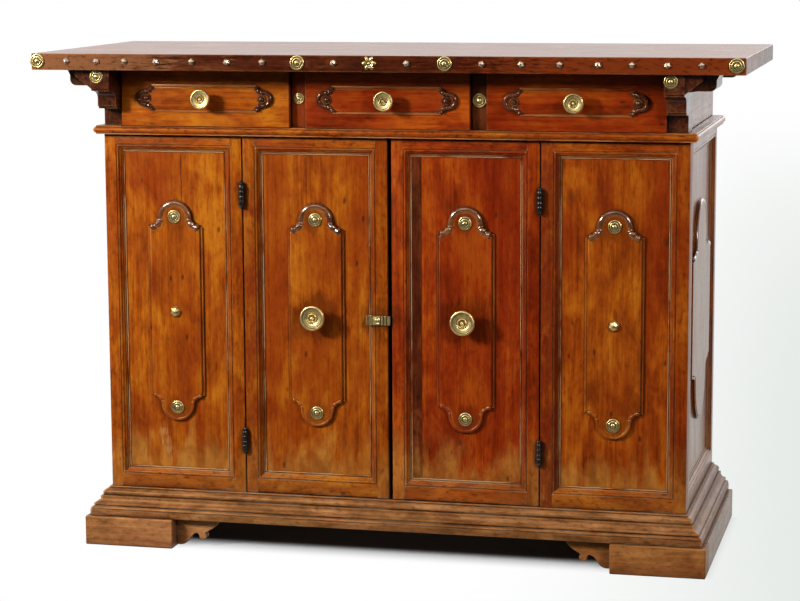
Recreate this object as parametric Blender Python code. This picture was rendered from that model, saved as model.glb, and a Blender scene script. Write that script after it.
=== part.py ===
"""A walnut credenza: bracket feet, a body with two hinged doors between fixed panels, three drawers
in the frieze and an overhanging top on corbels. Each piece of wood or metal is its own object."""

import math

import bmesh
import bpy
from mathutils import Matrix, Vector

# Sizes are in metres. +X is to the right of someone who faces the front, the front faces -Y,
# and the floor is z = 0.
FIT = 0.0003  # gap between two pieces that touch
ROUND_STEPS = 6  # straight steps in a quarter turn

# The layers from the floor up, and the outline of the top and the body
FOOT_HEIGHT = 0.063
PLINTH_HEIGHT = 0.0595
BODY_HEIGHT = 0.764
WAIST_HEIGHT = 0.0185
FRIEZE_HEIGHT = 0.121
TOP_THICKNESS = 0.034
TOP_WIDTH = 1.480
TOP_DEPTH = 0.622
TOP_EDGE_ROUND = 0.004
TOP_OVERHANG = 0.104  # top board ahead of the body's front
BODY_WIDTH = 1.244
BODY_DEPTH = 0.505

# Frame and panel work
FRAME_THICKNESS = 0.025
STILE_FLAT = 0.025
TOP_RAIL_FLAT = 0.021
BOTTOM_RAIL_FLAT = 0.029
FRAME_MOULDING = 0.017  # width of the moulding inside the flat
PANEL_RECESS = 0.010
PANEL_THICKNESS = 0.009
PANEL_LAP = 0.010  # how far a panel reaches in behind the moulding
FIXED_WIDTH = 0.3032
BACK_THICKNESS = 0.015
BOTTOM_THICKNESS = 0.018
SHELF_THICKNESS = 0.018
SHELF_HEIGHT = 0.3775  # above the body's floor
SHELF_SETBACK = 0.010  # behind the doors

# Raised tablets, straight at the sides and arched at both ends
TABLET_WIDTH = 0.122
TABLET_STRAIGHT = 0.364
TABLET_ARCH = 0.036
TABLET_COVE = 0.0185
TABLET_RISE = 0.006
TABLET_EDGE = 0.005
SIDE_TABLET_WIDTH = 0.330
SIDE_TABLET_STRAIGHT = 0.250
SIDE_TABLET_ARCH = 0.095
SIDE_TABLET_COVE = 0.0165
DRAWER_TABLET_WIDTH = 0.058
DRAWER_TABLET_STRAIGHT = 0.230
DRAWER_TABLET_ARCH = 0.017
DRAWER_TABLET_COVE = 0.016

# Mouldings and feet, as reaches beyond the body's faces
WAIST_REACH = 0.018
PLINTH_REACH = 0.038
FOOT_REACH = 0.047
FOOT_BLOCK_LENGTH = 0.197
FOOT_BLOCK_THICKNESS = 0.055
FOOT_SIDE_THICKNESS = 0.035
SCROLL_LENGTH = 0.097
SCROLL_THICKNESS = 0.020
SCROLL_SETBACK = 0.030  # behind the foot block's front
SCROLL_LIFT = 0.003  # clear of the floor

# Frieze: sides, dividers and corbels
FRIEZE_SETBACK = 0.010
FRIEZE_SIDE_THICKNESS = 0.034
DIVIDER_WIDTH = 0.031
CORBEL_WIDTH = 0.040
CORBEL_BACK = 0.060  # behind the body's front
CORBEL_REACHES = (0.085, 0.044, 0.005)  # the three blocks, ahead of the body's front
CORBEL_BLOCKS = (0.039, 0.018)
CORBEL_LEDGE = 0.005
CORBEL_COVES = (0.016, 0.0045)
FLARE_REACH = 0.066  # side bracket beyond the corbel
FLARE_HEIGHT = 0.040
FLARE_SETBACK = 0.038  # side bracket behind the corbel's front
WING_REACH = 0.036  # flat diagonal wing ahead of the side bracket
WING_SETBACK = 0.005
REAR_CORBEL_DEPTH = 0.050
REAR_CORBEL_SETBACK = 0.015

# Drawers
MIDDLE_DRAWER_WIDTH = 0.3474
DRAWER_GAP = 0.002
DRAWER_REACH = 0.016  # drawer fronts ahead of the body's front
DRAWER_TOP_GAP = 0.0025
DRAWER_FRONT_THICKNESS = 0.022
DRAWER_TABLET_RISE = 0.004
DRAWER_WALL = 0.010
DRAWER_WALL_HEIGHT = 0.098
DRAWER_BOTTOM_THICKNESS = 0.006
DRAWER_BOTTOM_LIFT = 0.004
DRAWER_BACK_GAP = 0.020  # between a drawer's back and the back board

# Doors, hinges, knobs and latch
DOOR_GAP = 0.009
DOOR_CLEARANCE = 0.0015
HINGE_FROM_TOP = 0.125
HINGE_FROM_BOTTOM = 0.114
HINGE_HEIGHT = 0.043
HINGE_BARREL_RADIUS = 0.0058
HINGE_PIN_RADIUS = 0.0025
HINGE_BORE_CLEARANCE = 0.00025
HINGE_PLATE = 0.0007
HINGE_PLATE_DEPTH = 0.020
HINGE_LEAF_GAP = 0.0006
HINGE_BALL_RADIUS = 0.0042
HINGE_ROUND = 12  # sides of a barrel
HINGE_STANDOFF = 0.0004  # between the barrel and the doors' faces
DOOR_KNOB_RADIUS = 0.027
DOOR_KNOB_REACH = 0.038
DRAWER_KNOB_RADIUS = 0.021
DRAWER_KNOB_REACH = 0.031
KNOB_STEM_RADIUS = 0.0055
KNOB_ROUND = 20  # sides of a knob
LATCH_INSET = 0.0231  # screw from the door's meeting edge
LATCH_TAIL = 0.0224
LATCH_NOSE = 0.0291
LATCH_HEIGHT = 0.019
LATCH_THICKNESS = 0.005
LATCH_RIB = 0.0045
LATCH_GROOVE = 0.0015
LATCH_BOSS_RADIUS = 0.006
LATCH_BOSS_RISE = 0.003

# Levels and faces that the pieces share
PLINTH_BOTTOM = FOOT_HEIGHT
BODY_BOTTOM = PLINTH_BOTTOM + PLINTH_HEIGHT
WAIST_BOTTOM = BODY_BOTTOM + BODY_HEIGHT
FRIEZE_BOTTOM = WAIST_BOTTOM + WAIST_HEIGHT
TOP_BOTTOM = FRIEZE_BOTTOM + FRIEZE_HEIGHT
FRONT = TOP_OVERHANG - TOP_DEPTH / 2
BACK = FRONT + BODY_DEPTH
SIDE = BODY_WIDTH / 2
INSIDE = SIDE - FRAME_THICKNESS
BEHIND_FRONT = FRONT + FRAME_THICKNESS
FRIEZE_OUTSIDE = SIDE - FRIEZE_SETBACK
FRIEZE_INSIDE = FRIEZE_OUTSIDE - FRIEZE_SIDE_THICKNESS
BACK_INSIDE = BACK - BACK_THICKNESS
DIVIDER_INSIDE = MIDDLE_DRAWER_WIDTH / 2 + DRAWER_GAP
DIVIDER_OUTSIDE = DIVIDER_INSIDE + DIVIDER_WIDTH
HINGE_GAP = 2 * (FIT + HINGE_PLATE) + HINGE_LEAF_GAP
HINGE_X = SIDE - FIXED_WIDTH - HINGE_GAP / 2
HINGE_Y = FRONT - HINGE_BARREL_RADIUS - HINGE_STANDOFF
DOOR_OUTSIDE = HINGE_X - HINGE_GAP / 2
DOOR_INSIDE = DOOR_GAP / 2
DOOR_BOTTOM = BODY_BOTTOM + DOOR_CLEARANCE
DOOR_TOP = WAIST_BOTTOM - DOOR_CLEARANCE
HINGE_LEVELS = {"upper": WAIST_BOTTOM - HINGE_FROM_TOP, "lower": BODY_BOTTOM + HINGE_FROM_BOTTOM}
SIDES = {"left": -1, "right": 1}


def finish(name, colour, roughness, metallic=0.0):
    """A plain material for one kind of surface."""
    material = bpy.data.materials.new(name)
    material.use_nodes = True
    shader = material.node_tree.nodes["Principled BSDF"]
    shader.inputs["Base Color"].default_value = (*colour, 1.0)
    shader.inputs["Roughness"].default_value = roughness
    shader.inputs["Metallic"].default_value = metallic
    return material


def skin(bm, rings, closed=False, first_cap=True):
    """Faces over rings of equal point counts, capped at the ends or joined end to start."""
    loops = [[bm.verts.new(point) for point in ring] for ring in rings]
    following = loops[1:] + loops[:1] if closed else loops[1:]
    for loop, after in zip(loops, following):
        for here in range(len(loop)):
            there = (here + 1) % len(loop)
            bm.faces.new((loop[here], loop[there], after[there], after[here]))
    if not closed:
        bm.faces.new(loops[-1])
        if first_cap:
            bm.faces.new(loops[0])
    return loops


def loft(rings, closed=False):
    """A closed body over rings of equal point counts."""
    bm = bmesh.new()
    skin(bm, rings, closed)
    return bm


def prism(outline, axis, start, end):
    """An outline, drawn in the plane square to an axis, carried along it from start to end."""
    def at(point, along):
        first, second = point
        places = {"X": (along, first, second), "Y": (first, along, second), "Z": (first, second, along)}
        return places[axis]

    return loft([[at(point, along) for point in outline] for along in (start, end)])


def board(x, y, z):
    """A plain board between its limits along X, Y and Z."""
    corners = [(x[0], y[0]), (x[1], y[0]), (x[1], y[1]), (x[0], y[1])]
    return prism(corners, "Z", *z)


def quarter(centre, across, up, start, end):
    """Points along an ellipse's arc between two angles in degrees."""
    angles = [math.radians(start + (end - start) * i / ROUND_STEPS) for i in range(ROUND_STEPS + 1)]
    return [(centre[0] + across * math.cos(a), centre[1] + up * math.sin(a)) for a in angles]


def bezier(*handles):
    """Points along a cubic curve, without its first."""
    points = []
    for i in range(1, ROUND_STEPS + 1):
        t = i / ROUND_STEPS
        shares = ((1 - t) ** 3, 3 * t * (1 - t) ** 2, 3 * t**2 * (1 - t), t**3)
        points.append(tuple(sum(s * h[k] for s, h in zip(shares, handles)) for k in (0, 1)))
    return points


def turned(profile, centre, axis, sides, closed=False):
    """A body turned about an axis through centre, from (radius, distance along the axis) points."""
    along = Vector(axis)
    across = along.orthogonal().normalized()
    around = along.cross(across)
    turns = [2 * math.pi * i / sides for i in range(sides)]
    rings = []
    for radius, distance in profile:
        middle = Vector(centre) + along * distance
        rings.append([middle + radius * (math.cos(a) * across + math.sin(a) * around) for a in turns])
    return loft(rings, closed)


def union(first, second):
    """Two closed bodies that overlap, joined into one."""
    helpers = []
    for bm in (first, second):
        bmesh.ops.recalc_face_normals(bm, faces=bm.faces)
        mesh = bpy.data.meshes.new("union_helper")
        bm.to_mesh(mesh)
        bm.free()
        helpers.append(bpy.data.objects.new("union_helper", mesh))
        bpy.context.scene.collection.objects.link(helpers[-1])
    join = helpers[0].modifiers.new("Union", "BOOLEAN")
    join.operation = "UNION"
    join.object = helpers[1]
    joined = bmesh.new()
    joined.from_object(helpers[0], bpy.context.evaluated_depsgraph_get())
    for helper in helpers:
        bpy.data.objects.remove(helper)
    return joined


def place(obj, location, parent):
    """Put an object at a place in the world, carried by parent if there is one. No parent is turned."""
    bpy.context.scene.collection.objects.link(obj)
    obj.parent = parent
    while parent:
        location = location - parent.location
        parent = parent.parent
    obj.location = location


def piece(name, bm, material, parent=None):
    """The named object, with its origin in its own middle, carried by parent if there is one."""
    bmesh.ops.recalc_face_normals(bm, faces=bm.faces)
    corners = [[vert.co[k] for vert in bm.verts] for k in range(3)]
    middle = Vector([(min(values) + max(values)) / 2 for values in corners])
    bmesh.ops.translate(bm, verts=bm.verts, vec=-middle)
    mesh = bpy.data.meshes.new(name)
    bm.to_mesh(mesh)
    bm.free()
    mesh.materials.append(material)
    obj = bpy.data.objects.new(name, mesh)
    place(obj, middle, parent)
    return obj


def round_piece(name, bm, material, parent=None):
    """A piece whose turned faces are shaded smooth."""
    obj = piece(name, bm, material, parent)
    obj.data.shade_smooth()
    obj.data.set_sharp_from_angle(angle=math.radians(40))
    return obj


def pivot(name, location, parent=None):
    """An empty on a joint's axis, which carries the pieces that move on it."""
    empty = bpy.data.objects.new(name, None)
    place(empty, Vector(location), parent)
    return empty


def ring_frame(x, y_front, z):
    """A mitred frame of two stiles and two rails, with a moulding inside and a rebate for its panel."""
    section = [(0, 0.0, FRAME_THICKNESS), (0, 0.0, 0.0)]
    fillet = [(0, 0), (0, 0.25), (0.24, 0.25)]
    ogee = [(0.38, 0.45), (0.56, 0.55), (0.74, 0.75), (1, 0.85), (1, 1)]
    for width, depth in fillet + ogee:
        section.append((1, width * FRAME_MOULDING, depth * PANEL_RECESS))
    rebate = FRAME_MOULDING - PANEL_LAP
    section += [(1, rebate, PANEL_RECESS), (1, rebate, FRAME_THICKNESS)]
    rings = []
    for flats, inset, depth in section:
        left, right = x[0] + flats * STILE_FLAT + inset, x[1] - flats * STILE_FLAT - inset
        low, high = z[0] + flats * BOTTOM_RAIL_FLAT + inset, z[1] - flats * TOP_RAIL_FLAT - inset
        y = y_front + depth
        rings.append([(left, y, low), (right, y, low), (right, y, high), (left, y, high)])
    return loft(rings, closed=True)


def tablet_outline(width, straight, arch, cove, inset):
    """Points round an upright tablet centred on (0, 0), drawn in by inset."""
    half = width / 2
    spring = straight / 2 + cove
    across = half - arch + inset
    meet = 180 + math.degrees(math.acos(inset / across))
    corner = quarter((half, spring), across, cove + inset, meet, 180)
    corner += quarter((0, spring), arch - inset, arch - inset, 0, 90)[1:]
    other = [(-x, z) for x, z in reversed(corner[:-1])]
    upper = corner + other
    return upper + [(-x, -z) for x, z in upper]


def tablet_board(x, y, z, tablet, rise, lying=False):
    """A board whose front face carries a raised tablet with a rounded edge in its middle."""
    bm = board(x, y, z)
    bm.normal_update()
    face = min(bm.faces, key=lambda f: f.calc_center_median().y)
    edges = list(face.edges)
    bmesh.ops.delete(bm, geom=[face], context="FACES_ONLY")
    middle_x, middle_z = sum(x) / 2, sum(z) / 2
    rings = []
    for inset, height in ((0, 0), (0, 0.45), (0.35, 0.9), (1, 1)):
        outline = tablet_outline(*tablet, inset * TABLET_EDGE)
        if lying:
            outline = [(-up, across) for across, up in outline]
        depth = y[0] - height * rise
        rings.append([(middle_x + across, depth, middle_z + up) for across, up in outline])
    foot = skin(bm, rings, first_cap=False)[0]
    edges += [bm.edges.get((foot[i - 1], foot[i])) for i in range(len(foot))]
    bmesh.ops.triangle_fill(bm, use_beauty=True, edges=edges, normal=(0, -1, 0))
    return bm


def framed_panel(x, y_front, z, tablet):
    """The panel that sits in the rebate of a frame with these outer limits."""
    gap = FRAME_MOULDING - PANEL_LAP + FIT
    across = (x[0] + STILE_FLAT + gap, x[1] - STILE_FLAT - gap)
    up = (z[0] + BOTTOM_RAIL_FLAT + gap, z[1] - TOP_RAIL_FLAT - gap)
    face = y_front + PANEL_RECESS + FIT
    return tablet_board(across, (face, face + PANEL_THICKNESS), up, tablet, TABLET_RISE)


def knob(x, y, z, radius, reach):
    """A turned knob: a base, a waisted stem and a dished disc with a rim, a ring and a boss."""
    shares = (
        (0.40, 0.0), (0.40, 0.08), (0.24, 0.16), (None, 0.30), (None, 0.55), (0.46, 0.70), (0.96, 0.76),
        (1.0, 0.84), (0.97, 0.94), (0.87, 0.96), (0.80, 0.88), (0.46, 0.86), (0.39, 0.93), (0.33, 0.88),
        (0.18, 0.89), (0.14, 0.98), (0.04, 1.0),
    )
    profile = [(KNOB_STEM_RADIUS if r is None else r * radius, h * reach) for r, h in shares]
    return turned(profile, (x, y, z), (0, -1, 0), KNOB_ROUND)


def moulding_front(profile):
    """A moulding across the front, mitred at both corners, from (reach, height) points."""
    return loft([
        [(side * (SIDE + reach - FIT), FRONT - reach, z) for reach, z in profile] for side in (-1, 1)
    ])


def moulding_side(profile, side):
    """The same moulding along a side, from its mitre to the back."""
    front = [(side * (SIDE + reach), FRONT - reach, z) for reach, z in profile]
    back = [(side * (SIDE + reach), BACK, z) for reach, z in profile]
    return loft([front, back])


def waist_profile():
    """A flat band with a half-round nose."""
    low, high = WAIST_BOTTOM, FRIEZE_BOTTOM - FIT
    radius = (high - low) / 2
    nose = quarter((WAIST_REACH - radius, low + radius), radius, radius, 90, -90)
    return [(-FRAME_THICKNESS, low), (-FRAME_THICKNESS, high)] + nose


def plinth_profile():
    """From the top down: a fillet, an ovolo, a step, a cove, a fillet and a fascia."""
    low, high = PLINTH_BOTTOM, BODY_BOTTOM - FIT
    tall = high - low

    def at(reach, height):
        return (reach * PLINTH_REACH, low + height * tall)

    points = [(-FRAME_THICKNESS, low), (-FRAME_THICKNESS, high), at(0.12, 1.0), at(0.12, 0.92)]
    points += quarter(at(0.12, 0.72), 0.43 * PLINTH_REACH, 0.20 * tall, 90, 0)[1:]
    points += [at(0.55, 0.67), at(0.63, 0.64)]
    points += quarter(at(0.77, 0.64), 0.14 * PLINTH_REACH, 0.19 * tall, 180, 270)[1:]
    points += [at(0.81, 0.45), at(0.81, 0.37), at(0.92, 0.30), at(1.0, 0.25), at(1.0, 0.0)]
    return points


def scroll_outline():
    """A scrolled bracket, as (distance from the foot block, height): a toe, an ogee, a lobe, a sweep."""
    def at(along, height):
        return (along * SCROLL_LENGTH, SCROLL_LIFT + height * (FOOT_HEIGHT - FIT - SCROLL_LIFT))

    points = [at(0, 1), at(0, 0.03)]
    points += bezier(at(0, 0.03), at(0.08, -0.02), at(0.21, -0.02), at(0.30, 0.22))
    points += bezier(at(0.30, 0.22), at(0.34, 0.34), at(0.40, 0.46), at(0.48, 0.45))
    points += bezier(at(0.48, 0.45), at(0.54, 0.44), at(0.50, 0.24), at(0.59, 0.23))
    points += bezier(at(0.59, 0.23), at(0.66, 0.22), at(0.74, 0.32), at(0.66, 0.46))
    points += bezier(at(0.66, 0.46), at(0.76, 0.60), at(0.97, 0.70), at(1.0, 1.0))
    return points


def corbel_profile():
    """Three blocks that step back downwards, each ledge hollowed by a cove, as (reach, height)."""
    z = TOP_BOTTOM - FIT
    points = [(CORBEL_REACHES[0], z)]
    for reach, below, block, cove in zip(CORBEL_REACHES, CORBEL_REACHES[1:], CORBEL_BLOCKS, CORBEL_COVES):
        z -= block
        points += [(reach, z), (reach - CORBEL_LEDGE, z)]
        z -= CORBEL_LEDGE
        edge = reach - CORBEL_LEDGE
        points += quarter((edge, z - cove), edge - below, cove, 90, 180)
        z -= cove
    points += [(CORBEL_REACHES[-1], FRIEZE_BOTTOM), (-CORBEL_BACK, FRIEZE_BOTTOM)]
    return points + [(-CORBEL_BACK, TOP_BOTTOM - FIT)]


def flare_profile(inside):
    """A side bracket under the top, as (distance beyond its block, height): a fascia, a lobe, a sweep."""
    top = TOP_BOTTOM - FIT
    lobe = 0.32 * FLARE_HEIGHT
    points = [(-inside, top), (FLARE_REACH, top), (0.90 * FLARE_REACH, top - 0.32 * FLARE_HEIGHT)]
    points += quarter((0.70 * FLARE_REACH, top - 0.55 * FLARE_HEIGHT), 0.20 * FLARE_REACH, lobe, 0, -90)
    return points + [(0.34 * FLARE_REACH, top - 0.87 * FLARE_HEIGHT), (-inside, top - FLARE_HEIGHT)]


def make_feet(wood):
    for name, side in SIDES.items():
        outer = side * (SIDE + FOOT_REACH)
        inner = outer - side * FOOT_BLOCK_LENGTH
        front = FRONT - FOOT_REACH
        behind = front + FOOT_BLOCK_THICKNESS
        z = (0.0, FOOT_HEIGHT - FIT)
        piece(f"foot_front_{name}", board(sorted((outer, inner)), (front, behind), z), wood)
        board_x = sorted((outer, outer - side * FOOT_SIDE_THICKNESS))
        piece(f"foot_side_{name}", board(board_x, (behind + FIT, BACK), z), wood)
        outline = [(inner - side * (FIT + along), height) for along, height in scroll_outline()]
        scroll_front = front + SCROLL_SETBACK
        scroll = prism(outline, "Y", scroll_front, scroll_front + SCROLL_THICKNESS)
        piece(f"foot_scroll_{name}", scroll, wood)


def make_mouldings(stem, profile, wood):
    piece(f"{stem}_front", moulding_front(profile), wood)
    for name, side in SIDES.items():
        piece(f"{stem}_{name}", moulding_side(profile, side), wood)


def make_carcass(wood):
    across = (-INSIDE + FIT, INSIDE - FIT)
    bottom_z = (BODY_BOTTOM - BOTTOM_THICKNESS, BODY_BOTTOM - FIT)
    piece("bottom_board", board(across, (BEHIND_FRONT + FIT, BACK), bottom_z), wood)
    shelf_z = (BODY_BOTTOM + SHELF_HEIGHT, BODY_BOTTOM + SHELF_HEIGHT + SHELF_THICKNESS)
    piece("shelf", board(across, (BEHIND_FRONT + SHELF_SETBACK, BACK_INSIDE - FIT), shelf_z), wood)
    deck_z = (WAIST_BOTTOM, FRIEZE_BOTTOM - FIT)
    piece("drawer_deck", board(across, (BEHIND_FRONT + FIT, BACK_INSIDE - FIT), deck_z), wood)
    wide, narrow = INSIDE - FIT, FRIEZE_INSIDE - FIT
    step, top = FRIEZE_BOTTOM - FIT, TOP_BOTTOM - FIT
    right = [(wide, BODY_BOTTOM), (wide, step), (narrow, step), (narrow, top)]
    left = [(-x, z) for x, z in reversed(right)]
    piece("back_board", prism(right + left, "Y", BACK_INSIDE, BACK), wood)


def make_fixed_panels(wood):
    z = (BODY_BOTTOM, WAIST_BOTTOM - FIT)
    tablet = (TABLET_WIDTH, TABLET_STRAIGHT, TABLET_ARCH, TABLET_COVE)
    side_tablet = (SIDE_TABLET_WIDTH, SIDE_TABLET_STRAIGHT, SIDE_TABLET_ARCH, SIDE_TABLET_COVE)
    for name, side in SIDES.items():
        x = sorted((side * SIDE, side * (SIDE - FIXED_WIDTH)))
        piece(f"front_frame_{name}", ring_frame(x, FRONT, z), wood)
        piece(f"front_panel_{name}", framed_panel(x, FRONT, z, tablet), wood)
        # A side is drawn facing the front, then turned about Z to face outwards.
        y = sorted((side * (BEHIND_FRONT + FIT), side * BACK))
        turn = Matrix.Rotation(side * math.pi / 2, 4, "Z")
        frame = ring_frame(y, -SIDE, z)
        panel = framed_panel(y, -SIDE, z, side_tablet)
        for stem, bm in (("side_frame", frame), ("side_panel", panel)):
            bm.transform(turn)
            piece(f"{stem}_{name}", bm, wood)


def make_frieze(wood):
    z = (FRIEZE_BOTTOM, TOP_BOTTOM - FIT)
    overlap = CORBEL_WIDTH / 2
    for name, side in SIDES.items():
        x = sorted((side * DIVIDER_INSIDE, side * DIVIDER_OUTSIDE))
        piece(f"drawer_divider_{name}", board(x, (FRONT, BACK_INSIDE - FIT), z), wood)
        x = sorted((side * FRIEZE_INSIDE, side * FRIEZE_OUTSIDE))
        piece(f"frieze_side_{name}", board(x, (FRONT + CORBEL_BACK + FIT, BACK), z), wood)

        outside = FRIEZE_INSIDE + CORBEL_WIDTH
        steps = [(FRONT - reach, height) for reach, height in corbel_profile()]
        corbel = prism(steps, "X", side * FRIEZE_INSIDE, side * outside)
        flare = [(side * (outside + reach), height) for reach, height in flare_profile(overlap)]
        front = FRONT - CORBEL_REACHES[0]
        bracket = prism(flare, "Y", front + FLARE_SETBACK, FRONT + CORBEL_BACK)
        top = TOP_BOTTOM - FIT
        wing_points = [(-overlap, top), (WING_REACH, top), (WING_REACH, top - 0.3 * FLARE_HEIGHT)]
        wing_points += [(0.0, top - FLARE_HEIGHT), (-overlap, top - FLARE_HEIGHT)]
        wing_outline = [(side * (outside + reach), height) for reach, height in wing_points]
        wing = prism(wing_outline, "Y", front + WING_SETBACK, front + FLARE_SETBACK + WING_SETBACK)
        piece(f"corbel_front_{name}", union(union(corbel, bracket), wing), wood)

        seat = FRIEZE_OUTSIDE + FIT
        rear = [(side * (seat + reach), height) for reach, height in flare_profile(0.0)]
        rear_end = BACK - REAR_CORBEL_SETBACK
        piece(f"corbel_rear_{name}", prism(rear, "Y", rear_end - REAR_CORBEL_DEPTH, rear_end), wood)


def make_top(wood):
    half = TOP_WIDTH / 2
    slab = board((-half, half), (-TOP_DEPTH / 2, TOP_DEPTH / 2), (TOP_BOTTOM, TOP_BOTTOM + TOP_THICKNESS))
    top = piece("top_board", slab, wood)
    soften = top.modifiers.new("Softened edges", "BEVEL")
    soften.width = TOP_EDGE_ROUND
    soften.segments = 2
    soften.limit_method = "ANGLE"


def hinge_plate(side, level, inwards, knuckle):
    """A leaf in the gap beside the pin: its full height behind the barrel, its knuckle's height at it."""
    low, high = level - HINGE_HEIGHT / 2, level + HINGE_HEIGHT / 2
    near = HINGE_LEAF_GAP / 2
    x = sorted(side * (HINGE_X + inwards * reach) for reach in (near, near + HINGE_PLATE))
    wall = (HINGE_PIN_RADIUS + HINGE_BORE_CLEARANCE + HINGE_BARREL_RADIUS) / 2
    root, shoulder, back = HINGE_Y + wall, FRONT + 2 * FIT, FRONT + HINGE_PLATE_DEPTH
    bottom, top = knuckle[0] + FIT, knuckle[1] - FIT
    outline = [(root, bottom), (shoulder, bottom), (shoulder, low), (back, low), (back, high)]
    outline += [(shoulder, high), (shoulder, top), (root, top)]
    return prism(outline, "X", *x)


def make_hinges(side, name, iron, door):
    """Two hinges: the lower knuckle, the pin and its ball ends are fixed, the upper knuckle swings."""
    bore = HINGE_PIN_RADIUS + HINGE_BORE_CLEARANCE
    for place, level in HINGE_LEVELS.items():
        centre = (side * HINGE_X, HINGE_Y, level)
        half = HINGE_HEIGHT / 2
        ball = HINGE_BALL_RADIUS
        lower_ball = [(r, h - half - ball) for r, h in quarter((0, 0), ball, ball, -80, 50)]
        upper_ball = [(r, h + half + ball) for r, h in quarter((0, 0), ball, ball, -50, 80)]
        barrel = [(HINGE_PIN_RADIUS, -half), (HINGE_BARREL_RADIUS, -half), (HINGE_BARREL_RADIUS, -FIT)]
        pin = [(HINGE_PIN_RADIUS, -FIT), (HINGE_PIN_RADIUS, half + FIT)]
        case_profile = lower_ball + barrel + pin + upper_ball
        case = turned(case_profile, centre, (0, 0, 1), HINGE_ROUND)
        plate = hinge_plate(side, level, 1, (level - half, level - FIT))
        round_piece(f"hinge_case_leaf_{name}_{place}", union(case, plate), iron)

        tube = [(bore, FIT), (HINGE_BARREL_RADIUS, FIT), (HINGE_BARREL_RADIUS, half), (bore, half)]
        knuckle = turned(tube, centre, (0, 0, 1), HINGE_ROUND, closed=True)
        plate = hinge_plate(side, level, -1, (level + FIT, level + half))
        round_piece(f"hinge_door_leaf_{name}_{place}", union(knuckle, plate), iron, door)


def make_latch(brass, door):
    """A ribbed button that turns on a domed screw and reaches over the gap between the doors."""
    x, z = -DOOR_INSIDE - LATCH_INSET, (DOOR_BOTTOM + DOOR_TOP) / 2
    centre = pivot("latch_pivot", (x, FRONT, z), door)
    back = FRONT - FIT
    face, groove = back - LATCH_THICKNESS, back - LATCH_THICKNESS + LATCH_GROOVE
    outline = [(x - LATCH_TAIL, back), (x - LATCH_TAIL, face)]
    half_pad = LATCH_BOSS_RADIUS + LATCH_RIB / 2
    ribs = [(-LATCH_TAIL + LATCH_RIB, -half_pad), (half_pad, LATCH_NOSE - LATCH_RIB)]
    for start, end in ribs:
        count = 2
        step = (end - start) / (2 * count - 1)
        for i in range(count):
            near, far = start + 2 * i * step, start + (2 * i + 1) * step
            outline += [(x + near, face), (x + near, groove), (x + far, groove), (x + far, face)]
    outline += [(x + LATCH_NOSE, face), (x + LATCH_NOSE, back)]
    bar = prism(outline, "Z", z - LATCH_HEIGHT / 2, z + LATCH_HEIGHT / 2)
    dome = [(LATCH_BOSS_RADIUS, -LATCH_THICKNESS / 2), (LATCH_BOSS_RADIUS, 0.0)]
    dome += quarter((0, 0), LATCH_BOSS_RADIUS, LATCH_BOSS_RISE, 20, 80)
    screw = turned(dome, (x, face, z), (0, -1, 0), KNOB_ROUND)
    round_piece("latch_button", union(bar, screw), brass, centre)


def make_doors(wood, brass, iron):
    z = (DOOR_BOTTOM, DOOR_TOP)
    tablet = (TABLET_WIDTH, TABLET_STRAIGHT, TABLET_ARCH, TABLET_COVE)
    knob_y = FRONT + PANEL_RECESS - TABLET_RISE
    knob_z = (DOOR_BOTTOM + BOTTOM_RAIL_FLAT + DOOR_TOP - TOP_RAIL_FLAT) / 2
    for name, side in SIDES.items():
        door = pivot(f"door_{name}_pivot", (side * HINGE_X, HINGE_Y, DOOR_BOTTOM))
        x = sorted((side * DOOR_INSIDE, side * DOOR_OUTSIDE))
        piece(f"door_frame_{name}", ring_frame(x, FRONT, z), wood, door)
        piece(f"door_panel_{name}", framed_panel(x, FRONT, z, tablet), wood, door)
        body = knob(sum(x) / 2, knob_y, knob_z, DOOR_KNOB_RADIUS, DOOR_KNOB_REACH)
        round_piece(f"door_knob_{name}", body, brass, door)
        make_hinges(side, name, iron, door)
        if name == "left":
            make_latch(brass, door)


def make_drawer(name, x, wood, inner_wood, brass):
    """A drawer between its limits along X: front, sides and back in one, bottom and knob."""
    face = FRONT - DRAWER_REACH
    behind = face + DRAWER_FRONT_THICKNESS
    low, high = FRIEZE_BOTTOM + FIT, TOP_BOTTOM - DRAWER_TOP_GAP
    middle = (sum(x) / 2, face, (low + high) / 2)
    drawer = pivot(f"drawer_{name}_pivot", middle)
    tablet = (DRAWER_TABLET_WIDTH, DRAWER_TABLET_STRAIGHT, DRAWER_TABLET_ARCH, DRAWER_TABLET_COVE)
    front = tablet_board(x, (face, behind), (low, high), tablet, DRAWER_TABLET_RISE, lying=True)
    piece(f"drawer_front_{name}", front, wood, drawer)

    start, end = behind + FIT, BACK_INSIDE - DRAWER_BACK_GAP
    outer = [(x[0], start), (x[0], end), (x[1], end), (x[1], start)]
    left, right = x[0] + DRAWER_WALL, x[1] - DRAWER_WALL
    inner = [(right, start), (right, end - DRAWER_WALL), (left, end - DRAWER_WALL), (left, start)]
    walls = prism(outer + inner, "Z", low, low + DRAWER_WALL_HEIGHT)
    piece(f"drawer_box_{name}", walls, inner_wood, drawer)
    bottom = low + DRAWER_BOTTOM_LIFT
    floor_y = (start, end - DRAWER_WALL - FIT)
    floor = board((left + FIT, right - FIT), floor_y, (bottom, bottom + DRAWER_BOTTOM_THICKNESS))
    piece(f"drawer_bottom_{name}", floor, inner_wood, drawer)
    seat = face - DRAWER_TABLET_RISE - FIT
    body = knob(middle[0], seat, middle[2], DRAWER_KNOB_RADIUS, DRAWER_KNOB_REACH)
    round_piece(f"drawer_knob_{name}", body, brass, drawer)


for old in list(bpy.data.objects):
    bpy.data.objects.remove(old)

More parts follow.
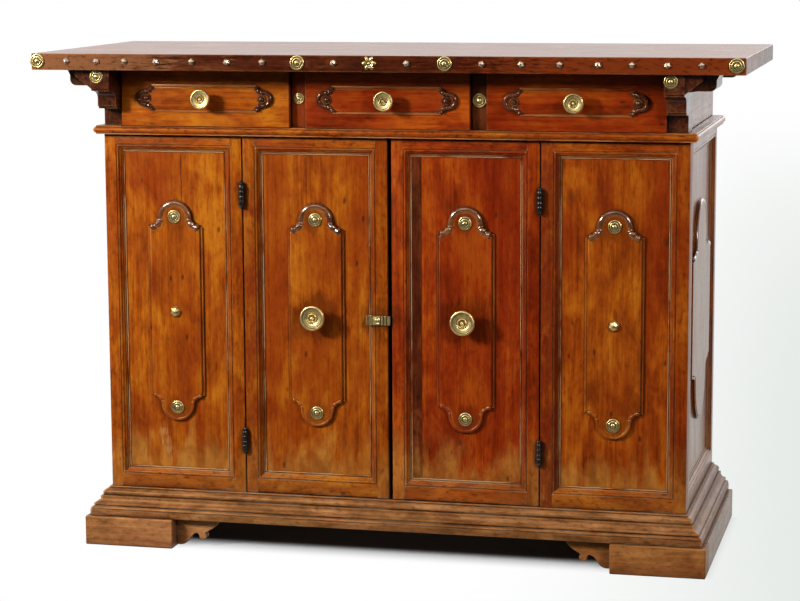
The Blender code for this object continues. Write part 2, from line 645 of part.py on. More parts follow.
walnut = finish("Polished walnut", (0.30, 0.10, 0.025), 0.28)
worn_walnut = finish("Worn walnut", (0.26, 0.11, 0.04), 0.45)
inside_walnut = finish("Plain walnut", (0.32, 0.18, 0.08), 0.60)
brass = finish("Brass", (0.72, 0.55, 0.24), 0.30, 1.0)
iron = finish("Black iron", (0.03, 0.027, 0.025), 0.50, 1.0)

make_feet(worn_walnut)
make_mouldings("plinth_moulding", plinth_profile(), worn_walnut)
make_carcass(inside_walnut)
make_fixed_panels(walnut)
make_mouldings("waist_moulding", waist_profile(), walnut)
make_frieze(walnut)
make_top(walnut)
make_doors(walnut, brass, iron)
make_drawer("middle", (-MIDDLE_DRAWER_WIDTH / 2, MIDDLE_DRAWER_WIDTH / 2), walnut, inside_walnut, brass)
for name, side in SIDES.items():
    limits = sorted((side * (DIVIDER_OUTSIDE + DRAWER_GAP), side * (FRIEZE_INSIDE - DRAWER_GAP)))
    make_drawer(name, limits, walnut, inside_walnut, brass)
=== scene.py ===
import math

import bmesh
import bpy
from mathutils import Matrix, Vector


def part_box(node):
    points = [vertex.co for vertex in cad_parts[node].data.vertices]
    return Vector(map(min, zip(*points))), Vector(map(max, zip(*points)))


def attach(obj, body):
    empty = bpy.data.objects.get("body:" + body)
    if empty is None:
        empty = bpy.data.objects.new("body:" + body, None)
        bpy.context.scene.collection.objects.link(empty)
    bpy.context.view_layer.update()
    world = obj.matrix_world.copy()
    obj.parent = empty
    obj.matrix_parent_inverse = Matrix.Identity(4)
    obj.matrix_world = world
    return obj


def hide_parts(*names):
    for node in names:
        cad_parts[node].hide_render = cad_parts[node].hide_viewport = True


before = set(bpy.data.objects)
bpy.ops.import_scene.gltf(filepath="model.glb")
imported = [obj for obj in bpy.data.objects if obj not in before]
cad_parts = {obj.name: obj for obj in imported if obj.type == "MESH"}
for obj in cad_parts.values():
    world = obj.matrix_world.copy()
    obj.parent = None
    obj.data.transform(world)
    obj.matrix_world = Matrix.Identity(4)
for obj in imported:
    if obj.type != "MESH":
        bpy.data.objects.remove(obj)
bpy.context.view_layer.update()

# The photographer's stage: a pale paper floor, a white backdrop, lamps at the left and right, a soft one
# high in front and a weak one behind. Only the camera, mirrors and glass see the backdrop as pure white.
CAMERA_PLACE = (1.165, -4.931, 1.288)
CAMERA_TURN = (math.radians(13.6), math.radians(-8.66), math.radians(0.29))  # yaw, pitch, roll
CAMERA_FOCUS = 106.3  # millimetres, as is the sensor's width
SENSOR_WIDTH = 36.0
VIEW_DEPTH = 200.0
FLOOR_SIZE = 120.0
STAND_HALF = (0.67, 0.28)  # half the ground that the object covers
STAND_MIDDLE = 0.022  # how far back the middle of that ground lies
SHADOW_FADE = ((-0.06, 0.02), (-0.12, 0.0))  # past that ground's sides, and past its front and back
SURROUND_LIGHT = 0.03
ROOM_LIGHT = 0.08  # the dim room behind the camera, seen in reflections
ROOM_EDGE = (-1.1, 0.3)  # how far back the floor turns from the room's to the backdrop's light
BACKDROP_EDGE = (-0.6, 0.1)  # the same for directions, by their share that points back
CEILING_EDGE = (0.35, 0.75)  # and by their share that points up
PAPER_SHADE_RIGHT = (0.75, 0.79, 0.76)  # painted shade: the paper's glow, greyer at the right of the object
DIM_RIGHT = (0.1, 1.1)  # how far to the right the paper turns dim
DIM_BACK = (14.0, -1.0)  # and how far back it is white again
PAPER_GREY = (0.12, 0.38)  # the paper's grey for light that bounces off it, and where its shadows are seen
LAMPS = {  # place, width and height in metres, watts
    "left_lamp": ((-2.3, -2.3, 1.90), (0.5, 0.6), 128),
    "right_lamp": ((2.3, -2.3, 1.90), (0.5, 0.6), 45),
    "soft_lamp": ((-1.5, -4.85, 4.15), (2.2, 2.2), 36),
    "back_lamp": ((1.5, 3.6, 2.2), (2.0, 2.0), 20),
}
LAMP_TARGET = Vector((0.0, -0.2, 0.55))


class Tone:
    """A value or colour on its way through a material's nodes. Sums on it add Math nodes."""

    def __init__(self, socket):
        self.socket = socket

    def node(self, kind, settings, values, output=0):
        """Another node of the same material: first its settings, then its sockets' values or links."""
        tree = self.socket.id_data
        made = tree.nodes.new("ShaderNode" + kind)
        for key, value in settings.items():
            if key == "stops":
                stops = made.color_ramp.elements
                while len(stops) < len(value):
                    stops.new(1.0)
                for stop, (place, colour) in zip(stops, value):
                    stop.position, stop.color = place, (*colour, 1.0)
            else:
                setattr(made, key, value)
        for key, value in values.items():
            if isinstance(value, Tone):
                tree.links.new(value.socket, made.inputs[key])
            else:
                made.inputs[key].default_value = value
        return Tone(made.outputs[output])

    def into(self, node, key):
        """Links this to a socket of a node that is there already."""
        self.socket.id_data.links.new(self.socket, node.inputs[key])

    def maths(self, operation, first, second=0):
        return self.node("Math", {"operation": operation}, {0: first, 1: second})

    def __add__(self, other):
        return self.maths("ADD", self, other)

    __radd__ = __add__

    def __sub__(self, other):
        return self.maths("SUBTRACT", self, other)

    def __rsub__(self, other):
        return self.maths("SUBTRACT", other, self)

    def __mul__(self, other):
        return self.maths("MULTIPLY", self, other)

    __rmul__ = __mul__

    def __abs__(self):
        return self.maths("ABSOLUTE", self)

    def larger(self, other):
        return self.maths("MAXIMUM", self, other)

    def along(self, axis):
        """One coordinate of a place or a direction."""
        return self.node("SeparateXYZ", {}, {"Vector": self}, axis)

    def step(self, low, high):
        """0 below low, 1 above high and smooth between, or the other way round if low is the higher."""
        limits = {"Value": self, "From Min": low, "From Max": high}
        return self.node("MapRange", {"interpolation_type": "SMOOTHSTEP"}, limits)

    def mix(self, first, second):
        """From the first colour to the second, by this factor."""
        colours = [c if isinstance(c, Tone) else (*c, 1.0) for c in (first, second)]
        return self.node("Mix", {"data_type": "RGBA"}, {0: self, 6: colours[0], 7: colours[1]}, 2)


def new_finish(name):
    """A new material, its shader and the places on the piece that it covers."""
    material = bpy.data.materials.new(name)
    material.use_nodes = True
    nodes = material.node_tree.nodes
    return material, nodes["Principled BSDF"], Tone(nodes.new("ShaderNodeTexCoord").outputs["Object"])


def seen_rays(tree):
    """Two values: 1 for the camera's rays, and 1 for those of mirrors and glass. Other rays only light."""
    path = tree.nodes.new("ShaderNodeLightPath").outputs
    camera, glossy, through = (Tone(path[f"Is {ray} Ray"]) for ray in ("Camera", "Glossy", "Transmission"))
    return camera, glossy.larger(through)


camera = bpy.data.objects.new("camera", bpy.data.cameras.new("camera"))
bpy.context.scene.collection.objects.link(camera)
yaw, pitch, roll = CAMERA_TURN
looking = Matrix.Rotation(yaw, 4, "Z") @ Matrix.Rotation(pitch, 4, "X") @ Matrix.Rotation(roll, 4, "Y")
camera.matrix_world = Matrix.Translation(CAMERA_PLACE) @ looking @ Matrix.Rotation(math.pi / 2, 4, "X")
camera.data.lens = CAMERA_FOCUS
camera.data.sensor_width = SENSOR_WIDTH
camera.data.clip_end = VIEW_DEPTH
bpy.context.scene.camera = camera
bpy.context.scene.view_settings.view_transform = "Standard"

for name, (place, (width, height), watts) in LAMPS.items():
    lamp = bpy.data.objects.new(name, bpy.data.lights.new(name, "AREA"))
    bpy.context.scene.collection.objects.link(lamp)
    lamp.data.shape = "RECTANGLE"
    lamp.data.size, lamp.data.size_y = width, height
    lamp.data.energy = watts
    lamp.location = place
    lamp.rotation_euler = (LAMP_TARGET - Vector(place)).to_track_quat("-Z", "Y").to_euler()

bpy.ops.object.select_all(action="DESELECT")
bpy.ops.mesh.primitive_plane_add(size=FLOOR_SIZE)
floor = bpy.context.object
floor.name = "floor"
paper, shader, place = new_finish("floor_paper")
shader.inputs["Roughness"].default_value = 0.9
shader.inputs["Specular IOR Level"].default_value = 0.1
right, back = place.along("X"), place.along("Y")
beside = abs(right) - STAND_HALF[0]
beyond = abs(back - STAND_MIDDLE) - STAND_HALF[1]
fade = beside.step(*SHADOW_FADE[0]).larger(beyond.step(*SHADOW_FADE[1]))
in_camera, in_mirrors = seen_rays(paper.node_tree)
seen = in_camera + in_mirrors
grey = PAPER_GREY[0] + seen * (PAPER_GREY[1] - PAPER_GREY[0])
grey.into(shader, "Base Color")
level = in_camera + in_mirrors * (ROOM_LIGHT + (1 - ROOM_LIGHT) * back.step(*ROOM_EDGE))
# Painted shade: the paper's glow falls off to a grey towards the right
dim = (right + back * 0.1).step(*DIM_RIGHT) * back.step(*DIM_BACK)
glow = place.node("Emission", {}, {"Color": dim.mix((1, 1, 1), PAPER_SHADE_RIGHT), "Strength": level})
surface = place.node("MixShader", {}, {0: fade * seen, 1: Tone(shader.outputs[0]), 2: glow})
surface.into(paper.node_tree.nodes["Material Output"], "Surface")
floor.data.materials.append(paper)

world = bpy.data.worlds.new("studio")
world.use_nodes = True
bpy.context.scene.world = world
background = world.node_tree.nodes["Background"]
background.inputs["Color"].default_value = (1, 1, 1, 1)
way = Tone(world.node_tree.nodes.new("ShaderNodeTexCoord").outputs["Generated"])
backdrop = way.along("Y").step(*BACKDROP_EDGE).larger(way.along("Z").step(*CEILING_EDGE))
in_camera, in_mirrors = seen_rays(world.node_tree)
unseen = 1 - in_camera - in_mirrors
mirrored = in_mirrors * (ROOM_LIGHT + (1 - ROOM_LIGHT) * backdrop)
strength = in_camera + mirrored + unseen * SURROUND_LIGHT
strength.into(background, "Strength")

# The bracket feet: solid blocks of walnut at the front corners, boards along the sides behind them,
# and thin scrolled brackets, sawn to outline, glued in behind the blocks' inner ends.
FOOT_EASE = 0.0025
SCROLL_EASE = 0.0012
SCROLL_CURVES = (  # shares of length and height: a rounded toe, an ogee, a notch, a lobe and a sweep
    ((0.08, -0.02), (0.21, -0.02), (0.30, 0.22)),
    ((0.34, 0.34), (0.40, 0.46), (0.48, 0.45)),
    ((0.54, 0.44), (0.50, 0.24), (0.59, 0.23)),
    ((0.66, 0.22), (0.74, 0.32), (0.66, 0.46)),
    ((0.76, 0.60), (0.97, 0.70), (1.0, 1.0)),
)
CURVE_STEPS = 10
WORN = ((0.080, 0.026, 0.009), (0.225, 0.083, 0.028), (0.41, 0.180, 0.075))  # dark, middle and pale tones
FOOT_WOODS = {
    "left": ((0.115, 0.037, 0.013), (0.325, 0.122, 0.043), (0.52, 0.230, 0.094)),
    "right": ((0.085, 0.024, 0.007), (0.250, 0.084, 0.021), (0.43, 0.165, 0.052)),
}
# A dark colour for grime and marks, and for the painted shade in creases
GRIME_AND_SHADE = (0.030, 0.010, 0.004)
DRIED_AND_SHEEN = ((0.28, 0.115, 0.016), (0.50, 0.235, 0.040))  # between two tones, for wood dried pale and its painted pale sheen
EDGE_PALE = (0.46, 0.18, 0.052)
RIDGE_WEAR_AND_HIGHLIGHT = (0.50, 0.27, 0.12)
DUST = (0.36, 0.27, 0.18)
SHELLAC_TINT = (1.0, 0.52, 0.22, 1.0)
SIDES = {"left": -1, "right": 1}


def darker(colour, share):
    return [c * share for c in colour]


def walnut(name, grain, number, tones, roughness=0.30, red=0.4, dried_and_sheen=0.0, wear=0.3, marks=0.25,
           ridges=False, patches=(), crack=None):
    """Old walnut under shellac, with its grain along X, Y or Z. Each board's number gives its own figure.
    Red flushes, wood dried pale near the ground under a painted pale sheen of the floor's reflection, worn
    edges and marks go from 0 to 1. Wear, with a painted highlight, keeps to thin ridges if asked. Patches
    are stains
    and scratches: a place, a radius, a colour and a strength each.
    A crack is an upright line at x between two heights."""
    material, shader, place = new_finish(name)
    shift = (0.37 * number, 0.91 * number, 0.53 * number)

    def by_grain(along, across):
        """Places on this board, scaled to features per metre along and across its grain."""
        scale = [along if axis == grain else across for axis in "XYZ"]
        return place.node("Mapping", {}, {"Vector": place, "Location": shift, "Scale": scale})

    def drawn_out(along, across, detail, rough=0.55, twist=0.0):
        """Noise stretched along the grain."""
        values = {"Vector": by_grain(along, across), "Scale": 1.0, "Detail": detail}
        return place.node("TexNoise", {}, {**values, "Roughness": rough, "Distortion": twist})

    # The figure, streaks and fibres of the wood
    dark, middle, pale = tones
    figure = drawn_out(4.5, 10.5, 5, 0.60, 1.0)
    streak = drawn_out(4.0, 130.0, 6, 0.65, 0.4)
    fibre = drawn_out(30.0, 230.0, 4, 0.65)
    mottle = drawn_out(13.0, 24.0, 5, 0.65, 0.7)
    tone = figure * 0.47 + mottle * 0.28 + streak * 0.25
    colour = place.node("ValToRGB", {"stops": ((0.41, dark), (0.497, middle), (0.59, pale))}, {"Fac": tone})
    flush = drawn_out(1.5, 7.0, 4, 0.55, 0.8).step(0.46, 0.62) * red
    colour = flush.mix(colour, (middle[0] * 0.70, middle[1] * 0.36, middle[2] * 0.6))
    colour = (fibre.step(0.50, 0.68) * 0.50).mix(colour, darker(dark, 0.7))

    # Wood dried pale near the ground where the shellac has gone, under a painted pale sheen that stands for
    # the floor's reflection; and stains
    height = place.along("Z")
    scuffs = drawn_out(9.0, 30.0, 5, 0.6)
    dried_and_sheen_mask = (height.step(0.34, 0.13) * 0.75 + (scuffs - 0.5) * 1.7).step(0.25, 0.75) * dried_and_sheen
    colour = (dried_and_sheen_mask * 0.8).mix(colour, mottle.step(0.36, 0.64).mix(*DRIED_AND_SHEEN))
    for spot, radius, stain, strength in patches:
        off = place.node("VectorMath", {"operation": "DISTANCE"}, {0: place, 1: spot}, "Value")
        patch = (off * (1 / radius) + (mottle - 0.5) * 1.5 + (fibre - 0.5) * 2.0).step(1.05, 0.45)
        colour = (patch * strength).mix(colour, stain)

    # Flecks, dark and pale spots and the crack
    cells = {"Vector": by_grain(14.0, 30.0), "Scale": 1.0, "Randomness": 1.0}
    distance = place.node("TexVoronoi", {}, cells, "Distance")
    chance = place.node("SeparateColor", {}, {"Color": place.node("TexVoronoi", {}, cells, "Color")}, 0)
    fleck = distance.step(0.13, 0.05) * chance.step(0.40, 0.46)
    colour = (fleck * 0.75).mix(colour, GRIME_AND_SHADE)
    spots = drawn_out(70.0, 130.0, 4, 0.65, 0.3)
    colour = (spots.step(0.50, 0.70) * marks).mix(colour, darker(dark, 0.4))
    colour = (spots.step(0.50, 0.30) * marks * 0.35).mix(colour, pale)
    if crack:
        x, bottom, top = crack
        line = abs(place.along("X") + (mottle - 0.5) * 0.006 - x).step(0.0016, 0.0004)
        line = line * height.step(bottom - 0.01, bottom + 0.01) * height.step(top + 0.01, top - 0.01)
        colour = (line * 0.85).mix(colour, GRIME_AND_SHADE)

    # Edges rubbed pale, along ridges with a painted highlight; dirt with painted shade in the hollows;
    # painted shade wherever other parts lie close; and dust near the ground
    near = place.node("AmbientOcclusion", {"samples": 6}, {"Distance": 0.011 if ridges else 0.0055}, "AO")
    wide = place.node("AmbientOcclusion", {"samples": 6}, {"Distance": 0.050}, "AO")
    inside = {"samples": 6, "inside": True, "only_local": True}
    rubbed = place.node("AmbientOcclusion", inside, {"Distance": 0.0035}, "AO")
    start, end = (0.62, 0.32) if ridges else (0.85, 0.45)
    edge = rubbed.step(start, end) * scuffs.step(0.36, 0.54) * wear
    # On ridges the pale is wear together with a painted highlight
    colour = edge.mix(colour, RIDGE_WEAR_AND_HIGHLIGHT if ridges else EDGE_PALE)
    # Dirt together with painted shade: darker in creases, found by a short occlusion test
    dirt = near.step(0.93, 0.52)
    # Painted shade: darker wherever a wide occlusion test finds other parts close, as under the top and
    # below mouldings
    colour = (wide.step(0.80, 0.32) * 0.7).mix(colour, darker(dark, 0.45))
    colour = (dirt * 0.88).mix(colour, GRIME_AND_SHADE)
    dust = dirt * height.step(0.24, 0.15) * scuffs.step(0.46, 0.60)
    colour = (dust * 0.35).mix(colour, DUST)

    # The surface: uneven shellac over open grain and plane marks
    colour.into(shader, "Base Color")
    uneven = roughness + (streak - 0.5) * 0.3 + (scuffs - 0.5) * 0.25 + dried_and_sheen_mask * 0.15 + dirt * 0.2
    uneven.into(shader, "Roughness")
    planed = drawn_out(5.0, 16.0, 2)
    relief = fibre * 0.22 + streak * 0.3 + planed * 2.2 - fleck * 0.8 - spots * marks
    place.node("Bump", {}, {"Strength": 0.35, "Distance": 0.0011, "Height": relief}).into(shader, "Normal")
    coat = 1.0 if roughness < 0.2 else 0.2 if roughness < 0.29 else 0.0
    shader.inputs["Specular Tint"].default_value = SHELLAC_TINT
    shader.inputs["Coat IOR"].default_value = 1.8
    shader.inputs["Coat Weight"].default_value = coat
    shader.inputs["Coat Roughness"].default_value = 0.14
    return material


def soften(piece, ease):
    """Eases a piece's arrises with a bevel, shaded so that the flat faces stay flat."""
    bpy.ops.object.shade_smooth()
    bevel = piece.modifiers.new("eased edges", "BEVEL")
    bevel.width, bevel.segments = ease, 3
    bevel.limit_method, bevel.angle_limit = "ANGLE", math.radians(38)
    bevel.harden_normals = True
    bpy.ops.object.modifier_apply(modifier=bevel.name)
    return piece


def board(name, low, high, ease=0.0012):
    """A plank between two corners: a cube brought to its size and place, with its arrises eased."""
    low, high = Vector(low), Vector(high)
    bpy.ops.object.select_all(action="DESELECT")
    bpy.ops.mesh.primitive_cube_add(size=1, location=(low + high) / 2)
    plank = bpy.context.object
    plank.name = plank.data.name = name
    plank.scale = high - low
    bpy.ops.object.transform_apply()
    return soften(plank, ease)


def draw(name, points):
    """A line drawn point by point, from a plane merged to its first point. It is left in edit mode."""
    bpy.ops.object.select_all(action="DESELECT")
    bpy.ops.mesh.primitive_plane_add(size=0.01, location=points[0])
    line = bpy.context.object
    line.name = line.data.name = name
    bpy.ops.object.transform_apply()
    bpy.ops.object.mode_set(mode="EDIT")
    bpy.ops.mesh.select_all(action="SELECT")
    bpy.ops.mesh.merge(type="CENTER")
    for here, there in zip(points, points[1:]):
        step = Vector(there) - Vector(here)
        bpy.ops.mesh.extrude_vertices_move(TRANSFORM_OT_translate={"value": step})
    bpy.ops.mesh.select_all(action="SELECT")
    return line


def leave_edit(crease=0, doubles=0.0):
    """Merges doubles, turns all faces outwards and leaves edit mode, smooth up to a crease in degrees."""
    bpy.ops.mesh.select_all(action="SELECT")
    if doubles:
        bpy.ops.mesh.remove_doubles(threshold=doubles)
    bpy.ops.mesh.normals_make_consistent(inside=False)
    bpy.ops.object.mode_set(mode="OBJECT")
    if crease:
        bpy.ops.object.shade_smooth_by_angle(angle=math.radians(crease))


def sawn(name, outline, along, ease=0.0):
    """A closed outline carried along a direction, with its edges eased by a bevel if asked."""
    piece = draw(name, outline)
    bpy.ops.mesh.edge_face_add()
    bpy.ops.mesh.extrude_region_move(TRANSFORM_OT_translate={"value": along})
    leave_edit(crease=0 if ease else 35)
    return soften(piece, ease) if ease else piece


def arc(centre, across, up, start, end, steps=CURVE_STEPS):
    """Points along an ellipse's arc between two angles in degrees."""
    angles = [math.radians(start + (end - start) * i / steps) for i in range(steps + 1)]
    return [(centre[0] + across * math.cos(a), centre[1] + up * math.sin(a)) for a in angles]


def bend(*handles):
    """Points along a cubic curve, without its first."""
    points = []
    for i in range(1, CURVE_STEPS + 1):
        t = i / CURVE_STEPS
        shares = ((1 - t) ** 3, 3 * t * (1 - t) ** 2, 3 * t**2 * (1 - t), t**3)
        points.append(tuple(sum(s * h[k] for s, h in zip(shares, handles)) for k in (0, 1)))
    return points


def fit(piece, material, body, slot, *nodes):
    """Gives a piece its finish, the body it moves with and the solids it stands for."""
    if material:
        piece.data.materials.clear()
        piece.data.materials.append(material)
    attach(piece, body)
    if nodes:
        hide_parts(*nodes)
    return piece


def scroll_outline(length, low, high):
    """A scrolled bracket, as (distance, height)."""
    points = [(0, 1), (0, 0.03)]
    for curve in SCROLL_CURVES:
        points += bend(points[-1], *curve)
    return [(along * length, low + height * (high - low)) for along, height in points]


foot_side_wood = walnut("foot_side_walnut", "Y", 2, WORN, dried_and_sheen=0.15, wear=0.9, marks=0.5)
for side, sign in SIDES.items():
    foot_wood = walnut(f"{side}_foot_walnut", "X", 1, FOOT_WOODS[side], roughness=0.42, red=0.5, dried_and_sheen=0.2,
                       wear=1.0, marks=0.4)
    for part, wood in (("front", foot_wood), ("side", foot_side_wood)):
        block = board(f"{side}_{part}_foot_block", *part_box(f"foot_{part}_{side}"), FOOT_EASE)
        fit(block, wood, "case", "worn_walnut", f"foot_{part}_{side}")
    low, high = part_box(f"foot_scroll_{side}")
    root = low.x if sign < 0 else high.x
    outline = [(root - sign * x, low.y, z) for x, z in scroll_outline(high.x - low.x, low.z, high.z)]
    bracket = sawn(f"{side}_foot_bracket", outline, (0, high.y - low.y, 0), SCROLL_EASE)
    fit(bracket, foot_wood, "case", "worn_walnut", f"foot_scroll_{side}")

# The stepped plinth moulding: three lengths of walnut, worked to one profile with moulding planes and
# mitred at the front corners, that carry the body's load out to the feet.
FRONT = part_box("front_frame_left")[0].y
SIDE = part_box("front_frame_right")[1].x
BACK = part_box("back_board")[1].y
MITRE_GAP = 0.00015


def pick(piece):
    """Selects one piece alone and makes it the active one."""
    bpy.ops.object.select_all(action="DESELECT")
    piece.select_set(True)
    bpy.context.view_layer.objects.active = piece


def mitre(piece, corner, normal):
    """Cuts a piece square through with a saw plane and throws away what lies on the normal's side."""
    pick(piece)
    bpy.ops.object.mode_set(mode="EDIT")
    bpy.ops.mesh.select_all(action="SELECT")
    bpy.ops.mesh.bisect(plane_co=corner, plane_no=normal, use_fill=True, clear_outer=True)
    bpy.ops.object.mode_set(mode="OBJECT")
    bpy.ops.object.shade_smooth_by_angle(angle=math.radians(35))


def moulding(stem, profile, woods, slot):
    """The front and side lengths of a moulding round the body, from (reach, height) points."""
    reach = max(point[0] for point in profile)
    outline = [(-SIDE - reach, FRONT - r, z) for r, z in profile]
    front = sawn(f"{stem}_front_length", outline, (2 * (SIDE + reach), 0, 0))
    for side, sign in SIDES.items():
        corner = Vector((sign * SIDE, FRONT, 0))
        across = Vector((sign, 1, 0)).normalized()
        mitre(front, corner - across * MITRE_GAP, across)
        outline = [(sign * (SIDE + r), FRONT - reach, z) for r, z in profile]
        length = sawn(f"{stem}_{side}_length", outline, (0, BACK - FRONT + reach, 0))
        mitre(length, corner + across * MITRE_GAP, -across)
        fit(length, woods[1], "case", slot, f"{stem}_moulding_{side}")
    fit(front, woods[0], "case", slot, f"{stem}_moulding_front")


low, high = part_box("plinth_moulding_front")
reach, inner, depth = FRONT - low.y, FRONT - high.y, high.z - low.z
plinth = [(inner, depth), (inner, 0), (0.0040, 0), (0.0048, 0.0008), (0.0048, 0.0026), (0.0030, 0.0036)]
plinth += arc((0.0030, 0.0132), 0.0130, -0.0092, 80, -22)
plinth += [(0.0140, 0.0172), (0.0140, 0.0182), (0.0194, 0.0186), (0.0202, 0.0194), (0.0202, 0.0222)]
plinth += arc((0.0292, 0.0222), 0.0094, -0.0098, 180, 270)
plinth += [(0.0304, 0.0324), (0.0312, 0.0334), (0.0312, 0.0364), (0.0290, 0.0372), (0.0290, 0.0384)]
plinth += arc((0.0290, 0.0432), reach - 0.0300, -0.0046, 84, -10, 8)
plinth += [(reach - 0.0022, 0.0448), (reach, 0.0458), (reach, depth - 0.0012), (reach - 0.0008, depth)]
plinth_woods = (
    walnut("plinth_walnut", "X", 3, WORN, roughness=0.40, red=0.6, dried_and_sheen=0.2, wear=1.0, marks=0.6),
    walnut("plinth_side_walnut", "Y", 4, WORN, roughness=0.36, red=0.8, wear=0.8, marks=0.9),
)
moulding("plinth", [(r, high.z - drop) for r, drop in plinth], plinth_woods, "worn_walnut")

# The carcass behind the front: floor, shelf and drawer deck are wide boards left from the plane, and
# the back is nailed up from upright planks under a level rail. None of it is polished.
PLAIN = ((0.13, 0.055, 0.022), (0.27, 0.135, 0.058), (0.38, 0.22, 0.105))
LEVEL_BOARDS = {"bottom_board": "cupboard_floor", "shelf": "cupboard_shelf", "drawer_deck": "deck_board"}
BACK_PLANKS = 6
PLANK_GAP = 0.0012
PLANK_EASE = 0.002
RAIL_GAP = 0.0003  # between the back's rail and the frieze's sides


def join(name, pieces):
    """Several shells made one piece, under the first one's place in the scene."""
    pick(pieces[0])
    for piece in pieces[1:]:
        piece.select_set(True)
    bpy.ops.object.join()
    pieces[0].name = pieces[0].data.name = name
    return pieces[0]


inside_wood = walnut("inside_walnut", "X", 5, PLAIN, roughness=0.62, red=0.1)
for node, name in LEVEL_BOARDS.items():
    fit(board(name, *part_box(node)), inside_wood, "case", "plain_walnut", node)
low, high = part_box("back_board")
frieze_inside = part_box("frieze_side_right")[0]
rail_low, rail_half = frieze_inside.z, frieze_inside.x - RAIL_GAP
width = (high.x - low.x) / BACK_PLANKS
planks = []
for i in range(BACK_PLANKS):
    left, right = low.x + i * width + PLANK_GAP / 2, low.x + (i + 1) * width - PLANK_GAP / 2
    corners = ((left, low.y, low.z), (right, high.y, rail_low - PLANK_GAP))
    planks.append(board(f"back_plank_{i}", *corners, PLANK_EASE))
    wood = walnut(f"back_plank_walnut_{i}", "Z", 6 + i, PLAIN, roughness=0.66, red=0.15, dried_and_sheen=0.3, wear=0.4)
    planks[-1].data.materials.append(wood)
planks.append(board("back_rail", (-rail_half, low.y, rail_low), (rail_half, high.y, high.z), PLANK_EASE))
planks[-1].data.materials.append(inside_wood)
fit(join("back_planks", planks), None, "case", "plain_walnut", "back_board")

# The panelled front and sides: walnut frames whose stiles run through, a moulding of bead, ogee and
# fillets mitred round each opening, and behind it a thin panel with a raised tablet, carved at its ends.
STILE_FLAT = 0.025
RAIL_FLATS = {-1: 0.029, 1: 0.021}  # below and above the opening
FRAME_MOULDING = 0.017
FRAME_THICKNESS = 0.025
PANEL_RECESS = 0.010
PANEL_LAP = 0.010
PANEL_STEP = 0.006  # from the front of a panel's solid to its flat
PANEL_EASE = 0.001
UPRIGHT_TABLET = (0.122, 0.364, 0.036, 0.0185)  # width, straight, arch, cove
SIDE_TABLET = (0.330, 0.250, 0.095, 0.0165)
TABLET_RISE = 0.0078
TABLET_RINGS = (  # distance inside the edge and share of the rise: a sunk foot, two steps and the field
    (0.0, -0.17), (0.0003, 0.40), (0.0012, 0.50), (0.0048, 0.46), (0.0053, 0.49), (0.0059, 0.90),
    (0.0071, 1.0), (0.0090, 1.0),
)
CARVED_BEAD = 0.0060
SIDE_BEAD = 0.0042
CARVED_ENDS = {  # turn from the upper end, share of the bead, height over the panel, flatness
    "upper": (0.0, 1.0, 0.0055, 0.9),
    "lower": (math.pi, 0.62, 0.0052, 0.7),
}
LEAF_SHAPE = (  # share of the way from the arch's end to the shoulder, thickness
    (0.0, 1.0), (0.08, 1.0), (0.11, 1.30), (0.18, 1.30), (0.22, 0.85), (0.34, 1.15), (0.46, 1.30),
    (0.58, 1.15), (0.68, 0.90), (0.78, 1.10), (0.90, 1.35), (0.97, 1.05), (1.0, 0.40),
)
LEAF_STEPS = 40
ROSETTE_LEVELS = (0.712, 0.301)
HONEY = ((0.175, 0.026, 0.002), (0.320, 0.061, 0.003), (0.46, 0.135, 0.006))
RUSSET = ((0.115, 0.010, 0.001), (0.265, 0.027, 0.002), (0.40, 0.072, 0.004))
AMBER = ((0.140, 0.017, 0.0015), (0.285, 0.045, 0.0025), (0.42, 0.105, 0.005))
CARVED = ((0.055, 0.014, 0.003), (0.145, 0.042, 0.007), (0.26, 0.092, 0.016))
FIXED_WOODS = {"left": HONEY, "right": AMBER}
CRACK = (-0.4560, 0.745, 0.842)  # in the left panel: its x, its lower and its upper end
SCRAPED = (0.55, 0.33, 0.13)
SCRATCH = [((-0.505 + 0.007 * i, FRONT, 0.245 - 0.020 * i), 0.016, SCRAPED, 0.4) for i in range(4)]
KNOTS = [((-0.436 + 0.006 * i, FRONT, 0.775 - 0.013 * i), 0.009, GRIME_AND_SHADE, 0.75) for i in range(3)]
BRUISES = [
    ((0.382, FRONT, 0.773), 0.024, (0.10, 0.012, 0.002), 0.6),
    ((0.577, FRONT, 0.684), 0.014, GRIME_AND_SHADE, 0.8),
    ((0.571, FRONT, 0.618), 0.016, (0.08, 0.012, 0.003), 0.6),
]
OLD_MARKS = {"left": {"patches": SCRATCH + KNOTS, "crack": CRACK}, "right": {"patches": BRUISES}}
STAINED_STILES = {"front_frame_right": 0.75, "door_frame_left": 0.5}  # how strong the stains are
STAIN_INSET = 0.02  # from the stile's left edge
STAIN_LEVELS = [0.18 + 0.12 * i for i in range(6)]
STAIN_RADIUS = 0.085
RED_POLISH = (0.125, 0.009, 0.002)
ROSETTE_STAIN = 0.034
ROSETTE_STAIN_STRENGTH = 0.7


def frame_profiles(flat):
    """Across a stile or rail, as (distance from its outer edge, depth): its flat, and its moulding."""
    plain = [(0, FRAME_THICKNESS), (0, 0.0012), (0.0004, 0.0004), (0.0012, 0)]
    plain += [(flat - 0.0006, 0), (flat, 0.0006), (flat, FRAME_THICKNESS)]
    mould = [(0, FRAME_THICKNESS), (0, 0.0006), (0.0003, 0.0014), (0.0009, 0.0014)]
    mould += arc((0.0033, 0.0022), 0.0024, -0.0021, 160, 0, 8)
    mould += [(0.0060, 0.0024), (0.0063, 0.0034), (0.0070, 0.0036)]
    mould += bend(mould[-1], (0.0102, 0.0034), (0.0094, 0.0076), (0.0124, 0.0078))
    mould += [(0.0126, 0.0092), (0.0135, 0.0092)]
    mould += arc((0.0151, PANEL_RECESS), 0.0016, -0.0018, 170, 0, 6)
    rebate = FRAME_MOULDING - PANEL_LAP
    mould += [(FRAME_MOULDING, PANEL_RECESS), (rebate, PANEL_RECESS), (rebate, FRAME_THICKNESS)]
    return plain, [(flat + x, y) for x, y in mould]


